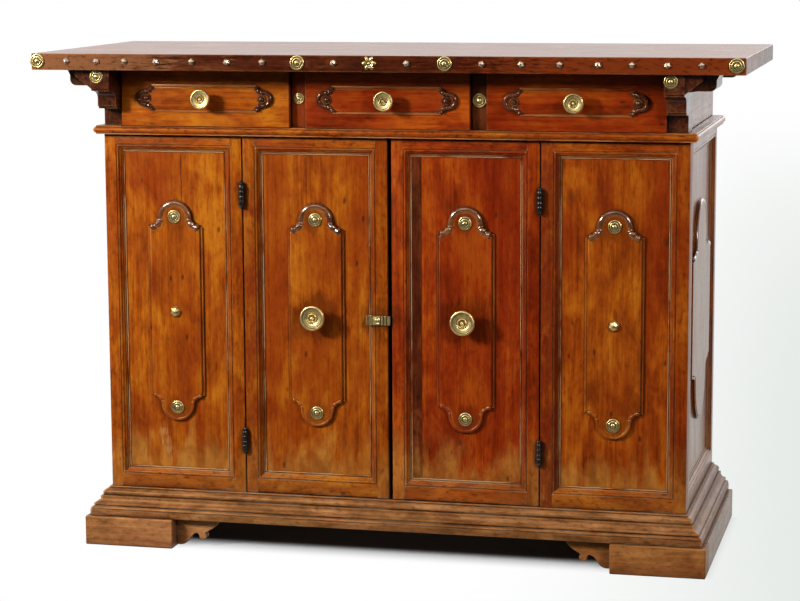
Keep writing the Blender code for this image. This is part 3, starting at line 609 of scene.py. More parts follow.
def panel_frame(name, x, front, z, woods):
    """Stiles that run through, rails between them, and a moulding mitred at the corners of the opening."""
    ends = (-1, 1)
    members = []
    opening = {}
    for across, x_edge in zip(ends, x):
        for up, z_edge in zip(ends, z):
            corner_x = x_edge - across * (STILE_FLAT + FRAME_MOULDING)
            corner_z = z_edge - up * (RAIL_FLATS[up] + FRAME_MOULDING)
            opening[across, up] = Vector((corner_x, front, corner_z))

    def member(kind, flat, outer, inwards, along, corners, wood):
        """A stile or rail from its outer edge inwards, its moulding cut at two corners of the opening."""
        for part, profile in zip((kind, f"{kind}_moulding"), frame_profiles(flat)):
            outline = [outer + inwards * w + Vector((0, d, 0)) for w, d in profile]
            members.append(sawn(f"{name}_{part}", outline, along))
            members[-1].data.materials.append(wood)
        for end, corner in zip(ends, corners):
            normal = (inwards + end * along.normalized()).normalized()
            mitre(members[-1], corner - normal * MITRE_GAP, normal)

    for across, edge in zip(ends, x):
        corners = [opening[across, up] for up in ends]
        outer, along = Vector((edge, front, z[0])), Vector((0, 0, z[1] - z[0]))
        member("stile", STILE_FLAT, outer, Vector((-across, 0, 0)), along, corners, woods[0])
    start, end = x[0] + STILE_FLAT + MITRE_GAP, x[1] - STILE_FLAT - MITRE_GAP
    for up, edge in zip(ends, z):
        corners = [opening[across, up] for across in ends]
        outer, along = Vector((start, front, edge)), Vector((end - start, 0, 0))
        member("rail", RAIL_FLATS[up], outer, Vector((0, 0, -up)), along, corners, woods[1])
    return join(name, members)


def tablet_outline(width, straight, arch, cove, inset=0.0):
    """Points round an upright tablet centred on (0, 0), or round a line that far inside its edge:
    straight sides, and coves and an arch at each end."""
    half, spring, across = width / 2, straight / 2 + cove, width / 2 - arch
    start = 180 + math.degrees(math.acos(inset / (across + inset)))
    corner = arc((half, spring), across + inset, cove + inset, start, 180)
    corner += arc((0, spring), arch - inset, arch - inset, 0, 90)[1:]
    upper = corner + [(-x, z) for x, z in reversed(corner[:-1])]
    return upper + [(-x, -z) for x, z in upper]


def tablet(name, shape, centre, rise, lying=False):
    """A raised tablet on a board's face: its outline filled, then drawn out ring by ring to the field."""
    rings = []
    for inset, share in TABLET_RINGS:
        outline = tablet_outline(*shape, inset)
        if lying:
            outline = [(-z, x) for x, z in outline]
        rings.append([centre + Vector((x, -share * rise, z)) for x, z in outline])
    piece = draw(name, rings[0])
    bpy.ops.mesh.edge_face_add()
    for before, after in zip(rings, rings[1:]):
        bpy.ops.mesh.extrude_region_move()
        mesh = bmesh.from_edit_mesh(piece.data)
        for vertex in [v for v in mesh.verts if v.select]:
            vertex.co = after[min(range(len(before)), key=lambda i: (before[i] - vertex.co).length)]
        bmesh.update_edit_mesh(piece.data)
    leave_edit(crease=35)
    return piece


def leaf_thickness(share):
    """A carved leaf's thickness, at a share of its way."""
    below = [knot for knot in LEAF_SHAPE if knot[0] <= share][-1]
    above = [knot for knot in LEAF_SHAPE if knot[0] >= share][0]
    gap = above[0] - below[0]
    return below[1] + (above[1] - below[1]) * ((share - below[0]) / gap if gap else 0)


def carved_end(name, shape, bead, centre, turn, flatness):
    """The carving round a tablet's end: a bead over the arch, then a collar and a leaf at either side.
    Turn carries the upright drawing to the end that it decorates."""
    width, straight, arch, cove = shape
    spring, radius, reach = straight / 2 + cove, arch - 0.8 * bead, width / 2 - 0.3 * bead
    path = [(x, z, 1.0) for x, z in arc((0, spring), radius, radius, 90, 0, 14)]
    leaf = arc((reach, spring), reach - radius, cove + 0.5 * bead, 180, 258, LEAF_STEPS)
    path += [(x, z, leaf_thickness(i / LEAF_STEPS)) for i, (x, z) in enumerate(leaf) if i]
    path = [(-x, z, thick) for x, z, thick in reversed(path[1:])] + path
    turned_over = Matrix.Rotation(turn, 3, "Y")
    line = draw(name, [centre + turned_over @ Vector((x, 0, z)) for x, z, thick in path])
    bpy.ops.object.mode_set(mode="OBJECT")
    bpy.ops.object.convert(target="CURVE")
    line.data.bevel_depth = bead
    line.data.bevel_resolution = 3
    line.data.use_fill_caps = True
    for point, (x, z, thick) in zip(line.data.splines[0].points, path):
        point.radius = thick
    bpy.ops.object.convert(target="MESH")
    bpy.ops.object.mode_set(mode="EDIT")
    bpy.ops.mesh.select_all(action="SELECT")
    bpy.ops.transform.resize(value=(1, flatness, 1), center_override=centre)
    leave_edit(doubles=0.00001)
    bpy.ops.object.shade_smooth()
    return line


def panel_and_tablet(stem, low, high, shape, bead, tablet_wood):
    """A panel facing the front between two corners, and its raised tablet with both ends carved."""
    low, high = Vector(low), Vector(high)
    low.y += PANEL_STEP
    panel = board(f"{stem}_panel_board", low, high, PANEL_EASE)
    centre = (low + high) / 2
    centre.y = low.y
    parts = [tablet(f"{stem}_field", shape, centre, TABLET_RISE)]
    for end, (turn, share, height, flatness) in CARVED_ENDS.items():
        seat = centre - Vector((0, height, 0))
        parts.append(carved_end(f"{stem}_{end}_end", shape, share * bead, seat, turn, flatness))
    for part, wood in zip(parts, (tablet_wood, carving_wood, tablet_wood)):
        part.data.materials.append(wood)
    return panel, join(f"{stem}_tablet", parts)


def front_bay(stem, body, frame_node, panel_node, woods):
    """A framed panel of the front. Its woods are those of the stiles, rails, panel and tablet."""
    low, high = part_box(frame_node)
    made = panel_frame(f"{stem}_frame", (low.x, high.x), low.y, (low.z, high.z), woods[:2])
    fit(made, None, body, "polished_walnut", frame_node)
    panel, raised = panel_and_tablet(stem, *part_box(panel_node), UPRIGHT_TABLET, CARVED_BEAD, woods[3])
    fit(panel, woods[2], body, "polished_walnut", panel_node)
    fit(raised, None, body, "polished_walnut", panel_node)
    return panel


def stile_stains(node):
    """Old red polish up a frame's left stile, in patches from the bottom to the top."""
    if node not in STAINED_STILES:
        return []
    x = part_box(node)[0].x + STAIN_INSET
    return [((x, FRONT, z), STAIN_RADIUS, RED_POLISH, STAINED_STILES[node]) for z in STAIN_LEVELS]


def rosette_stains(node, tones):
    """Dark patches of old polish round a panel's two rosettes."""
    low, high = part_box(node)
    x = (low.x + high.x) / 2
    stain = [(a + b) / 3 for a, b in zip(tones[0], tones[1])]
    return [((x, low.y, z), ROSETTE_STAIN, stain, ROSETTE_STAIN_STRENGTH) for z in ROSETTE_LEVELS]


def turn_to_side(piece, sign):
    """Turns a piece that was made facing the front to the left or right side of the body."""
    pick(piece)
    piece.rotation_euler.z = sign * math.pi / 2
    bpy.ops.object.transform_apply()


carving_wood = walnut("carving_walnut", "X", 19, CARVED, roughness=0.17)
for number, (side, sign) in enumerate(SIDES.items()):
    frame_node, panel_node, tones = f"front_frame_{side}", f"front_panel_{side}", FIXED_WOODS[side]
    woods = (
        walnut(f"{side}_fixed_stile_walnut", "Z", 20 + number, tones, dried_and_sheen=0.5, wear=0.8, marks=0.5,
               ridges=True, patches=stile_stains(frame_node)),
        walnut(f"{side}_fixed_rail_walnut", "X", 22 + number, tones, red=0.6, dried_and_sheen=0.3, wear=0.9, marks=0.75,
               ridges=True),
        walnut(f"{side}_fixed_panel_walnut", "Z", 24 + number, tones, red=0.7, dried_and_sheen=0.65, **OLD_MARKS[side]),
        walnut(f"{side}_fixed_tablet_walnut", "Z", 36 + number, HONEY, red=0.35, dried_and_sheen=0.2, wear=0.6,
               patches=rosette_stains(panel_node, HONEY)),
    )
    front_bay(f"{side}_fixed", "case", frame_node, panel_node, woods)

    low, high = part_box(f"side_frame_{side}")
    worn = {"roughness": 0.28, "dried_and_sheen": 0.4, "wear": 0.8, "ridges": True}
    woods = (walnut(f"{side}_side_stile_walnut", "Z", 28 + number, HONEY, red=0.3, **worn),
             walnut(f"{side}_side_rail_walnut", "Y", 30 + number, HONEY, **worn))
    limits = sorted((sign * low.y, sign * high.y))
    made = panel_frame(f"{side}_side_frame", limits, -SIDE, (low.z, high.z), woods)
    turn_to_side(made, sign)
    fit(made, None, "case", "polished_walnut", f"side_frame_{side}")
    low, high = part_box(f"side_panel_{side}")
    limits = sorted((sign * low.y, sign * high.y))
    outer, inner = sorted((-abs(low.x), -abs(high.x)))
    corners = ((limits[0], outer, low.z), (limits[1], inner, high.z))
    wood = walnut(f"{side}_side_panel_walnut", "Z", 32 + number, HONEY, roughness=0.28, red=0.5, dried_and_sheen=0.45,
                  wear=0.4)
    panel, raised = panel_and_tablet(f"{side}_side", *corners, SIDE_TABLET, SIDE_BEAD, wood)
    for piece, finish in ((panel, wood), (raised, None)):
        turn_to_side(piece, sign)
        fit(piece, finish, "case", "polished_walnut", f"side_panel_{side}")

# The waist moulding: a nosing round the deck's edge, in three mitred lengths, with a fillet above and
# below its half-round. It covers the deck's end grain and gives the frieze a line to stand on.
WAIST_FILLET = 0.0026
WAIST_QUIRK = 0.0016
WAIST_EASE = 0.0006

low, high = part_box("waist_moulding_front")
reach, inner = FRONT - low.y, FRONT - high.y
radius = (high.z - low.z) / 2 - WAIST_FILLET
fillet = reach - 0.7 * radius
waist = [(inner, low.z), (inner, high.z), (fillet - WAIST_EASE, high.z), (fillet, high.z - WAIST_EASE)]
waist += [(fillet, high.z - WAIST_FILLET), (fillet - WAIST_QUIRK, high.z - WAIST_FILLET)]
waist += arc((reach - radius, (low.z + high.z) / 2), radius, radius, 84, -84, 16)
waist += [(fillet - WAIST_QUIRK, low.z + WAIST_FILLET), (fillet, low.z + WAIST_FILLET), (fillet, low.z)]
waist_woods = (
    walnut("waist_walnut", "X", 40, HONEY, roughness=0.32, red=0.6, wear=0.9, marks=1.0),
    walnut("waist_side_walnut", "Y", 41, HONEY, roughness=0.28, red=0.5, wear=0.9, marks=0.7),
)
moulding("waist", waist, waist_woods, "polished_walnut")

# The frieze: thick sides and two dividers between the drawers, and stepped corbels with scrolled side
# brackets at the corners that carry the top. Brass rosettes are nailed to the dividers and corbels.
FRIEZE_EASE = 0.0015
CORBEL_WIDTH = 0.040
CORBEL_REACHES = (0.085, 0.044, 0.005)  # the three blocks, ahead of the body's front
CORBEL_BLOCKS = (0.039, 0.018)
CORBEL_LEDGE = 0.005
CORBEL_COVES = (0.016, 0.0045)
BRACKET_REACH = 0.066
BRACKET_HEIGHT = 0.040
BRACKET_SETBACK = 0.038
BRACKET_EASE = 0.0008
WING_REACH = 0.036
WING_SETBACK = 0.005
UMBER = ((0.035, 0.006, 0.002), (0.095, 0.016, 0.004), (0.20, 0.044, 0.010))
SOOT = ((0.020, 0.004, 0.002), (0.062, 0.012, 0.005), (0.13, 0.036, 0.014))
DIVIDER_WOODS = {"left": RUSSET, "right": UMBER}
BRASS = (0.86, 0.645, 0.265)
STUD_BRASS = (0.72, 0.54, 0.22)
BRASS_DIRT = (0.050, 0.028, 0.010)
ROSETTE = (  # shares of the radius: from the back over the rim, two rings and a boss
    (0, 0), (1.0, 0), (1.0, 0.10), (0.95, 0.19), (0.87, 0.22), (0.78, 0.20), (0.735, 0.11), (0.70, 0.11),
    (0.66, 0.21), (0.57, 0.25), (0.47, 0.23), (0.42, 0.12), (0.38, 0.12), (0.33, 0.28), (0.22, 0.37),
    (0, 0.40),
)
NAIL_SEAT = 0.0003  # how deep a nail's back is sunk in the wood
DIVIDER_ROSETTES = {"left": 0.012, "right": 0.015}  # radius
CORBEL_ROSETTE = 0.0145
CORBEL_ROSETTE_DROP = 0.0140  # below the corbel's top
CORBEL_ROSETTE_SHIFT = -0.0065


def brass_finish(name, number, roughness, metal=BRASS, soiled=0.85):
    """Cast brass, rubbed bright on its edges and brown with old polish in its hollows. Soiled is how open
    a hollow may be and still hold dirt."""
    material, shader, place = new_finish(name)
    moved = place.node("Mapping", {}, {"Vector": place, "Location": (number, 2 * number, 3 * number)})
    clouds = place.node("TexNoise", {}, {"Vector": moved, "Scale": 160.0, "Detail": 4.0, "Roughness": 0.6})
    pits = place.node("TexNoise", {}, {"Vector": moved, "Scale": 900.0, "Detail": 2.0})
    crease = place.node("AmbientOcclusion", {"samples": 8}, {"Distance": 0.004}, "AO")
    dirt = (crease.step(soiled, soiled - 0.5) + (clouds - 0.5) * 0.4).step(0.20, 0.95)
    clean = clouds.step(0.3, 0.7).mix(darker(metal, 0.75), metal)
    (dirt * 0.9).mix(clean, BRASS_DIRT).into(shader, "Base Color")
    (1.0 - dirt * 0.7).into(shader, "Metallic")
    (roughness + (clouds - 0.5) * 0.2 + dirt * 0.3).into(shader, "Roughness")
    relief = clouds + pits * 0.4
    place.node("Bump", {}, {"Strength": 0.15, "Distance": 0.0003, "Height": relief}).into(shader, "Normal")
    return material


def turned(name, profile, centre, radius=1.0, reach=None, upright=False, steps=36, start=0.0):
    """A profile spun round from a start angle, towards the front or upwards. Its points are shares of a
    radius and of a reach, which is the radius if none is given."""
    reach = reach or radius
    outwards = Vector((0, 0, 1)) if upright else Vector((0, -1, 0))
    across = Matrix.Rotation(start, 3, outwards) @ Vector((1, 0, 0))
    points = [Vector(centre) + across * (r * radius) + outwards * (h * reach) for r, h in profile]
    piece = draw(name, points)
    bpy.ops.mesh.spin(steps=steps, angle=math.tau, center=centre, axis=outwards)
    leave_edit(crease=50 if steps > 12 else 20, doubles=0.000005)
    return piece


def unite(piece, other):
    """Makes two overlapping solids one, and drops the second."""
    pick(piece)
    glue = piece.modifiers.new("joint", "BOOLEAN")
    glue.operation, glue.solver, glue.object = "UNION", "EXACT", other
    bpy.ops.object.modifier_apply(modifier=glue.name)
    bpy.data.objects.remove(other)
    bpy.ops.object.shade_smooth_by_angle(angle=math.radians(30))


def corbel_steps(top, bottom, back):
    """A corbel's side as (reach, height): three blocks that step back, each ledge hollowed by a cove."""
    z = top
    points = [(-back, bottom), (-back, top), (CORBEL_REACHES[0], top)]
    for reach, below, block, cove in zip(CORBEL_REACHES, CORBEL_REACHES[1:], CORBEL_BLOCKS, CORBEL_COVES):
        z -= block
        edge = reach - CORBEL_LEDGE
        points += [(reach, z), (edge, z), (edge, z - CORBEL_LEDGE)]
        z -= CORBEL_LEDGE
        points += arc((edge, z - cove), edge - below, cove, 90, 180)[1:]
        z -= cove
    return points + [(CORBEL_REACHES[-1], bottom)]


def bracket_shape(inside, top):
    """A side bracket as (distance beyond its block, height): a fascia, a lobe and a sweep."""
    points = [(-inside, top), (BRACKET_REACH, top), (0.90 * BRACKET_REACH, top - 0.32 * BRACKET_HEIGHT)]
    lobe = (0.70 * BRACKET_REACH, top - 0.55 * BRACKET_HEIGHT)
    points += arc(lobe, 0.20 * BRACKET_REACH, 0.32 * BRACKET_HEIGHT, 0, -90)
    return points + [(0.34 * BRACKET_REACH, top - 0.87 * BRACKET_HEIGHT), (-inside, top - BRACKET_HEIGHT)]


def wing_shape(inside, top):
    """The plain wing ahead of a side bracket, in the same terms."""
    under = top - BRACKET_HEIGHT
    points = [(-inside, top), (WING_REACH, top), (WING_REACH, top - 0.3 * BRACKET_HEIGHT)]
    return points + [(0.0, under), (-inside, under)]


studs_brass = brass_finish("stud_brass", 1.0, 0.34, STUD_BRASS, soiled=0.9)
bright_brass = brass_finish("bright_brass", 2.0, 0.40)
frieze_wood = walnut("frieze_walnut", "Y", 45, HONEY, roughness=0.28, wear=0.5)
corbel_wood = walnut("corbel_walnut", "Y", 47, SOOT, roughness=0.26, marks=0.9)
for side, sign in SIDES.items():
    plank = board(f"{side}_frieze_board", *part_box(f"frieze_side_{side}"), FRIEZE_EASE)
    fit(plank, frieze_wood, "case", "polished_walnut", f"frieze_side_{side}")
    low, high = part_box(f"drawer_divider_{side}")
    wood = walnut(f"{side}_divider_walnut", "Z", 46, DIVIDER_WOODS[side], roughness=0.42, red=0.3, wear=0.5)
    divider = board(f"{side}_drawer_divider", low, high)
    fit(divider, wood, "case", "polished_walnut", f"drawer_divider_{side}")
    seat = ((low.x + high.x) / 2, low.y + NAIL_SEAT, (low.z + high.z) / 2)
    flower = turned(f"{side}_divider_rosette", ROSETTE, seat, DIVIDER_ROSETTES[side])
    fit(flower, bright_brass, "case", "brass")

    low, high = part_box(f"corbel_front_{side}")
    inner = sign * min(abs(low.x), abs(high.x))
    outer = inner + sign * CORBEL_WIDTH
    steps = corbel_steps(high.z, low.z, high.y - FRONT)
    corbel = sawn(f"{side}_corbel", [(inner, FRONT - r, z) for r, z in steps], (sign * CORBEL_WIDTH, 0, 0))
    start = low.y + BRACKET_SETBACK
    shape = [(outer + sign * r, start, z) for r, z in bracket_shape(CORBEL_WIDTH / 2, high.z)]
    unite(corbel, sawn("bracket", shape, (0, high.y - start, 0)))
    start = low.y + WING_SETBACK
    shape = [(outer + sign * r, start, z) for r, z in wing_shape(CORBEL_WIDTH / 2, high.z)]
    unite(corbel, sawn("wing", shape, (0, BRACKET_SETBACK, 0)))
    fit(corbel, corbel_wood, "case", "polished_walnut", f"corbel_front_{side}")
    seat = ((inner + outer) / 2 + CORBEL_ROSETTE_SHIFT, low.y + NAIL_SEAT, high.z - CORBEL_ROSETTE_DROP)
    flower = turned(f"{side}_corbel_rosette", ROSETTE, seat, CORBEL_ROSETTE)
    fit(flower, studs_brass, "case", "brass")

    low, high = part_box(f"corbel_rear_{side}")
    root = sign * min(abs(low.x), abs(high.x))
    shape = [(root + sign * r, low.y, z) for r, z in bracket_shape(0.0, high.z)]
    rear = sawn(f"{side}_rear_bracket", shape, (0, high.y - low.y, 0), BRACKET_EASE)
    fit(rear, corbel_wood, "case", "polished_walnut", f"corbel_rear_{side}")

# The top: one wide board with softened edges, and along its front edge a row of brass nails, faceted
# studs between larger rosettes at the ends and near the middle, and one flower.
TOP_EASE = 0.0016
OXBLOOD = ((0.020, 0.002, 0.001), (0.055, 0.007, 0.002), (0.13, 0.026, 0.006))
TOP_PATCHES = (  # the edge is paler at its left end, and redder at its right
    ((-0.74, -0.31, 1.04), 0.36, (0.23, 0.086, 0.033), 0.75),
    ((0.66, -0.31, 1.04), 0.46, (0.235, 0.036, 0.006), 0.65),
)
NAIL_METAL = (0.82, 0.62, 0.44)
STUD_LEVEL = 0.0155  # below the top's surface
SMALL_STUDS = (
    -0.6631, -0.5970, -0.5357, -0.4672, -0.3895, -0.3144, -0.2388, -0.0893, 0.0632, 0.2165, 0.2963, 0.3735,
    0.4501, 0.5172, 0.5869, 0.6541,
)
SMALL_STUD_RADIUS = 0.0080
SMALL_STUD_SIDES = 5
SMALL_STUD_TURN = 0.7  # from each to the next, in radians
BIG_STUDS = (-0.7270, -0.1649, 0.1411, 0.7218)
BIG_STUD_RADIUS = 0.0153
FACETED = ((0, 0), (1.0, 0), (1.0, 0.12), (0.74, 0.56), (0.22, 0.84), (0, 0.88))  # shares of the radius
FLOWER_PLACE = -0.0144
FLOWER_RADIUS = 0.0155
PETALS = 6
PETAL_SIZES = (0.42, 0.20, 0.26)  # half its length, height and width, as shares of the flower's radius
PETAL_PLACE = 0.58
PETAL_LIFT = 0.0006
HEART = 0.62

nail_metal = brass_finish("nail_metal", 4.0, 0.28, NAIL_METAL)
low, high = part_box("top_board")
top = board("top_slab", low, high, TOP_EASE)
edge_wood = walnut("top_walnut", "X", 50, OXBLOOD, red=0.5, wear=0.9, marks=0.7, patches=TOP_PATCHES)
top.data.materials.append(edge_wood)
top.data.materials.append(walnut("top_face_walnut", "X", 51, HONEY, roughness=0.28))
for face in top.data.polygons:
    face.material_index = int(face.normal.z > 0.9)
fit(top, None, "case", "polished_walnut", "top_board")
edge, level = low.y + NAIL_SEAT, high.z - STUD_LEVEL
nails = []
for i, x in enumerate(SMALL_STUDS):
    nails.append(turned(f"top_nail_{i}", FACETED, (x, edge, level), SMALL_STUD_RADIUS,
                        steps=SMALL_STUD_SIDES, start=SMALL_STUD_TURN * i))
fit(join("top_edge_nails", nails), nail_metal, "case", "brass")
studs = []
for i, x in enumerate(BIG_STUDS):
    studs.append(turned(f"top_rosette_{i}", ROSETTE, (x, edge, level), BIG_STUD_RADIUS))
for i in range(PETALS):
    angle = math.tau * i / PETALS
    way = Vector((math.cos(angle), 0, math.sin(angle)))
    bpy.ops.mesh.primitive_uv_sphere_add(segments=16, ring_count=10, radius=1)
    petal = bpy.context.object
    petal.scale = Vector(PETAL_SIZES) * FLOWER_RADIUS
    petal.rotation_euler.y = -angle
    petal.location = Vector((FLOWER_PLACE, edge - PETAL_LIFT, level)) + way * PETAL_PLACE * FLOWER_RADIUS
    bpy.ops.object.transform_apply()
    bpy.ops.object.shade_smooth()
    studs.append(petal)
seat = (FLOWER_PLACE, edge, level)
studs.append(turned("top_flower_heart", ROSETTE, seat, HEART * FLOWER_RADIUS, FLOWER_RADIUS))
fit(join("top_edge_studs", studs), studs_brass, "case", "brass")

# The doors: frames and panels like the fixed ones, turned brass pulls, brass rosettes at the arches,
# black iron hinges at the outer edges, and on the left door a ribbed brass button that locks both.
DOOR_WOODS = {"left": HONEY, "right": RUSSET}
KNOB = (  # shares of radius and reach: a base, a waisted stem and a dished disc with a rim, a ring, a boss
    (0, 0), (0.40, 0), (0.42, 0.03), (0.40, 0.07), (0.27, 0.12), (0.215, 0.20), (0.20, 0.32), (0.205, 0.52),
    (0.27, 0.62), (0.46, 0.69), (0.74, 0.725), (0.94, 0.75), (0.985, 0.785), (1.0, 0.84), (0.985, 0.90),
    (0.94, 0.95), (0.88, 0.96), (0.82, 0.95), (0.79, 0.89), (0.765, 0.89), (0.74, 0.915), (0.62, 0.90),
    (0.48, 0.895), (0.44, 0.86), (0.41, 0.86), (0.39, 0.92), (0.35, 0.94), (0.31, 0.92), (0.29, 0.84),
    (0.18, 0.82), (0.155, 0.91), (0.11, 0.97), (0.05, 0.995), (0, 1.0),
)
BARE_STRIP = 0.020  # of the right panel's tongue, which shows because the panel has shrunk
BARE_PROUD = 0.0006
BARE_EASE = 0.0004
PANEL_ROSETTE = 0.0145
PANEL_ROSETTE_SEAT = 0.0005
CENTRE_STUD = 0.0125
CENTRE_STUD_SIDES = 6
CENTRE_STUD_TURN = 0.3
HAND_STAINS = (0.066, 0.050)  # round the knob and round the latch
HAND_STAIN_STRENGTH = 0.7
HINGE_RADIUS = 0.0058
HINGE_HALF = 0.0215
HINGE_SEAM = 0.0003
HINGE_BALL = 0.0042
HINGE_BALL_PLACE = 0.72  # of the ball's radius beyond the knuckle's end
HINGE_LEAF = (0.0003, 0.0010)  # a leaf's two faces, from the pin's middle
HINGE_LEAF_SETBACK = 0.0006
HINGE_LEAF_EASE = 0.0001
KNUCKLE = (  # shares of the hinge's radius and half height
    (0, 0), (0.85, 0), (1.0, 0.05), (1.0, 0.42), (0.92, 0.46), (1.0, 0.50), (1.0, 0.95), (0.85, 1.0),
    (0, 1.0),
)
BALL = arc((0, 0), 1.0, 1.0, -90, 90, 12)
SCALE_BLACK = ((0.012, 0.010, 0.009), (0.045, 0.032, 0.025))  # between two tones
LATCH_THICKNESS = 0.005
LATCH_TAIL = 0.0224  # from its screw to its outer end
LATCH_EASE = 0.00025
LATCH_RIBS = (  # start and end along the bar from its screw, depth below its face
    (-0.0189, -0.0170, 0.0020), (-0.0146, -0.0138, 0.0008), (-0.0116, -0.0108, 0.0008),
    (-0.0084, -0.0076, 0.0014), (0.0076, 0.0096, 0.0022), (0.0136, 0.0174, 0.0026),
    (0.0212, 0.0236, 0.0022),
)
LATCH_SCREW = (  # radius and reach in metres
    (0, -0.0025), (0.0072, -0.0025), (0.0072, 0.0002), (0.0066, 0.0006), (0.0060, 0.0003), (0.0054, 0.0001),
    (0.0050, 0.0012), (0.0040, 0.0022), (0.0024, 0.0028), (0, 0.0030),
)


def iron_finish(name):
    """Forged iron, blacked and oily."""
    material, shader, place = new_finish(name)
    scale = place.node("TexNoise", {}, {"Vector": place, "Scale": 260.0, "Detail": 4.0, "Roughness": 0.6})
    scale.step(0.35, 0.7).mix(*SCALE_BLACK).into(shader, "Base Color")
    (0.24 + (scale - 0.5) * 0.3).into(shader, "Roughness")
    place.node("Bump", {}, {"Strength": 0.4, "Distance": 0.0006, "Height": scale}).into(shader, "Normal")
    shader.inputs["Metallic"].default_value = 0.6
    return material


def knob_seat(node):
    """The middle of a knob's back, where it is screwed on."""
    low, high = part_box(node)
    return ((low.x + high.x) / 2, high.y, (low.z + high.z) / 2)


def pull(name, node, body):
    """A turned brass knob, as wide and as long as its solid."""
    low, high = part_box(node)
    knob = turned(name, KNOB, knob_seat(node), (high.x - low.x) / 2, high.y - low.y, steps=48)
    fit(knob, bright_brass, body, "brass", node)


iron = iron_finish("black_iron")
latch_brass = brass_finish("latch_brass", 3.0, 0.36, soiled=0.97)
low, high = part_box("latch_button")
screw = Vector((low.x + LATCH_TAIL, high.y, (low.z + high.z) / 2))
for number, (side, sign) in enumerate(SIDES.items()):
    body, tones = f"door_{side}", DOOR_WOODS[side]
    frame_node, panel_node = f"door_frame_{side}", f"door_panel_{side}"
    touched = (knob_seat(f"door_knob_{side}"), screw)
    stain = darker(tones[0], 0.5)
    hands = [(spot, radius, stain, HAND_STAIN_STRENGTH) for spot, radius in zip(touched, HAND_STAINS)]
    woods = (
        walnut(f"{side}_door_stile_walnut", "Z", 60 + number, tones, dried_and_sheen=0.5, wear=0.8, marks=0.5,
               ridges=True, patches=hands + stile_stains(frame_node)),
        walnut(f"{side}_door_rail_walnut", "X", 62 + number, tones, red=0.6, dried_and_sheen=0.35, wear=0.9, marks=0.75,
               ridges=True),
        walnut(f"{side}_door_panel_walnut", "Z", 64 + number, tones, red=0.6, dried_and_sheen=0.6, patches=hands),
        walnut(f"{side}_door_tablet_walnut", "Z", 66 + number, tones, dried_and_sheen=0.25, wear=0.6,
               patches=hands + rosette_stains(panel_node, tones)),
    )
    panel = front_bay(f"{side}_door", body, frame_node, panel_node, woods)
    if side == "right":
        low, high = Vector(panel.bound_box[0]), Vector(panel.bound_box[6])
        start = low + Vector((PANEL_LAP - BARE_PROUD, -BARE_PROUD, PANEL_LAP))
        end = (start.x + BARE_STRIP, low.y + BARE_PROUD, high.z - PANEL_LAP)
        bare_wood = walnut("bare_tongue_walnut", "Z", 68, UMBER, red=0.3, dried_and_sheen=0.4, wear=0.0, marks=0.5)
        fit(board("bare_tongue", start, end, BARE_EASE), bare_wood, body, "polished_walnut", panel_node)

    pull(f"{side}_door_pull", f"door_knob_{side}", body)
    for owner, node in ((body, panel_node), ("case", f"front_panel_{side}")):
        low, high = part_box(node)
        middle, face = (low + high) / 2, low.y + PANEL_STEP - TABLET_RISE + PANEL_ROSETTE_SEAT
        nails = []
        for level in ROSETTE_LEVELS:
            nails.append(turned(f"{side}_panel_rosette", ROSETTE, (middle.x, face, level), PANEL_ROSETTE))
        if owner == "case":
            nails.append(turned(f"{side}_centre_stud", FACETED, (middle.x, face, middle.z), CENTRE_STUD,
                                steps=CENTRE_STUD_SIDES, start=CENTRE_STUD_TURN))
        fit(join(f"{side}_{owner}_rosettes", nails), studs_brass, owner, "brass")

    for place in ("upper", "lower"):
        low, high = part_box(f"hinge_door_leaf_{side}_{place}")
        pin = Vector(((low.x + high.x) / 2, low.y + HINGE_RADIUS, (low.z + high.z) / 2))
        up = Vector((0, 0, 1))
        for owner, node, turn in ((body, "door", 1), ("case", "case", -1)):
            name = f"{side}_{place}_{node}_hinge"
            seam, length = pin + up * turn * HINGE_SEAM, turn * (HINGE_HALF - HINGE_SEAM)
            parts = [turned(name, KNUCKLE, seam, HINGE_RADIUS, length, upright=True, steps=24)]
            x = sorted(pin.x - sign * turn * face for face in HINGE_LEAF)
            corners = ((x[0], FRONT + HINGE_LEAF_SETBACK, low.z), (x[1], high.y, high.z))
            parts.append(board("leaf", *corners, HINGE_LEAF_EASE))
            if owner == "case":
                for end in (-1, 1):
                    tip = pin + up * end * (HINGE_HALF + HINGE_BALL * HINGE_BALL_PLACE)
                    parts.append(turned("tip", BALL, tip, HINGE_BALL, upright=True, steps=20))
            fit(join(name, parts), iron, owner, "black_iron", f"hinge_{node}_leaf_{side}_{place}")

low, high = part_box("latch_button")
face = high.y - LATCH_THICKNESS
outline = [(low.x, high.y), (low.x, face)]
for start, end, depth in LATCH_RIBS:
    groove = ((start, 0), (start, depth), (end, depth), (end, 0))
    outline += [(screw.x + x, face + y) for x, y in groove]
outline += [(high.x, face), (high.x, high.y)]
bar = sawn("latch_bar", [(x, y, low.z) for x, y in outline], (0, 0, high.z - low.z), LATCH_EASE)
head = turned("latch_screw", LATCH_SCREW, (screw.x, face, screw.z), steps=24)
fit(join("latch_bar", [bar, head]), latch_brass, "latch", "brass", "latch_button")

# The drawers: solid fronts with a lying tablet carved at both ends and a small turned stud in either
# arch, boxes of thin boards with a bottom let into them, and a turned brass knob each.
DRAWER_RISE = 0.004
DRAWER_EASE = 0.0016
LYING_TABLET = (0.058, 0.230, 0.017, 0.016)
DRAWER_BEAD = 0.0044
DRAWER_BEAD_HEIGHT = 0.0032
DRAWER_WALL = 0.010
WALL_EASE = 0.0008
DRAWER_FLOOR_EASE = 0.0005
DRAWER_STUD_PLACE = 0.126
DRAWER_STUD_SEAT = 0.0008
DRAWER_STUD_RADIUS = 0.0100
DRAWER_STUD = ((0, 0), (1.0, 0), (1.0, 0.2), (0.85, 0.35), (0.6, 0.3), (0.55, 0.55), (0.35, 0.8), (0, 0.9))
DRAWER_WOODS = {"left": HONEY, "middle": RUSSET, "right": RUSSET}

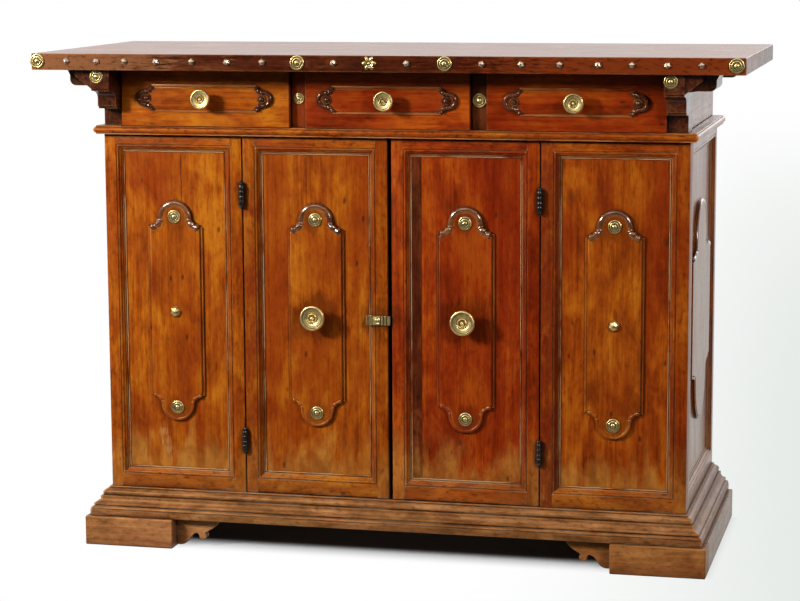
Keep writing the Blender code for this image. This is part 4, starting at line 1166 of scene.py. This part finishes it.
dark_carving_wood = walnut("dark_carving_walnut", "X", 82, SOOT, roughness=0.22)
box_wood = walnut("drawer_box_walnut", "Y", 80, PLAIN, roughness=0.62, red=0.1)
drawer_floor_wood = walnut("drawer_floor_walnut", "X", 81, PLAIN, roughness=0.66, red=0.1, wear=0.2)
for number, (side, tones) in enumerate(DRAWER_WOODS.items()):
    body = f"drawer_{side}"
    low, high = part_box(f"drawer_front_{side}")
    centre = (low + high) / 2
    centre.y = low.y + DRAWER_RISE
    wood = walnut(f"{side}_drawer_walnut", "X", 70 + number, tones, red=0.5, wear=0.7)
    tablet_wood = walnut(f"{side}_drawer_tablet_walnut", "X", 73 + number, tones, red=0.6, wear=0.6)
    front = board(f"{side}_drawer_board", (low.x, centre.y, low.z), high, DRAWER_EASE)
    fit(front, wood, body, "polished_walnut", f"drawer_front_{side}")
    parts = [tablet(f"{side}_drawer_tablet", LYING_TABLET, centre, DRAWER_RISE, lying=True)]
    parts[0].data.materials.append(tablet_wood)
    for end in (-1, 1):
        seat, turn = centre - Vector((0, DRAWER_BEAD_HEIGHT, 0)), end * math.pi / 2
        parts.append(carved_end(f"{side}_drawer_end", LYING_TABLET, DRAWER_BEAD, seat, turn, 1.0))
        seat = (centre.x + end * DRAWER_STUD_PLACE, low.y + DRAWER_STUD_SEAT, centre.z)
        parts.append(turned(f"{side}_drawer_stud", DRAWER_STUD, seat, DRAWER_STUD_RADIUS, steps=20))
    for part in parts[1:]:
        part.data.materials.append(dark_carving_wood)
    fit(join(f"{side}_drawer_tablet", parts), None, body, "polished_walnut", f"drawer_front_{side}")

    low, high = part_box(f"drawer_box_{side}")
    left, right = low.x + DRAWER_WALL, high.x - DRAWER_WALL
    walls = [
        board("wall", low, (left, high.y, high.z), WALL_EASE),
        board("wall", (right, low.y, low.z), high, WALL_EASE),
        board("wall", (left, high.y - DRAWER_WALL, low.z), (right, high.y, high.z), WALL_EASE),
    ]
    fit(join(f"{side}_drawer_walls", walls), box_wood, body, "plain_walnut", f"drawer_box_{side}")
    bottom = board(f"{side}_drawer_floor", *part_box(f"drawer_bottom_{side}"), DRAWER_FLOOR_EASE)
    fit(bottom, drawer_floor_wood, body, "plain_walnut", f"drawer_bottom_{side}")
    pull(f"{side}_drawer_pull", f"drawer_knob_{side}", body)
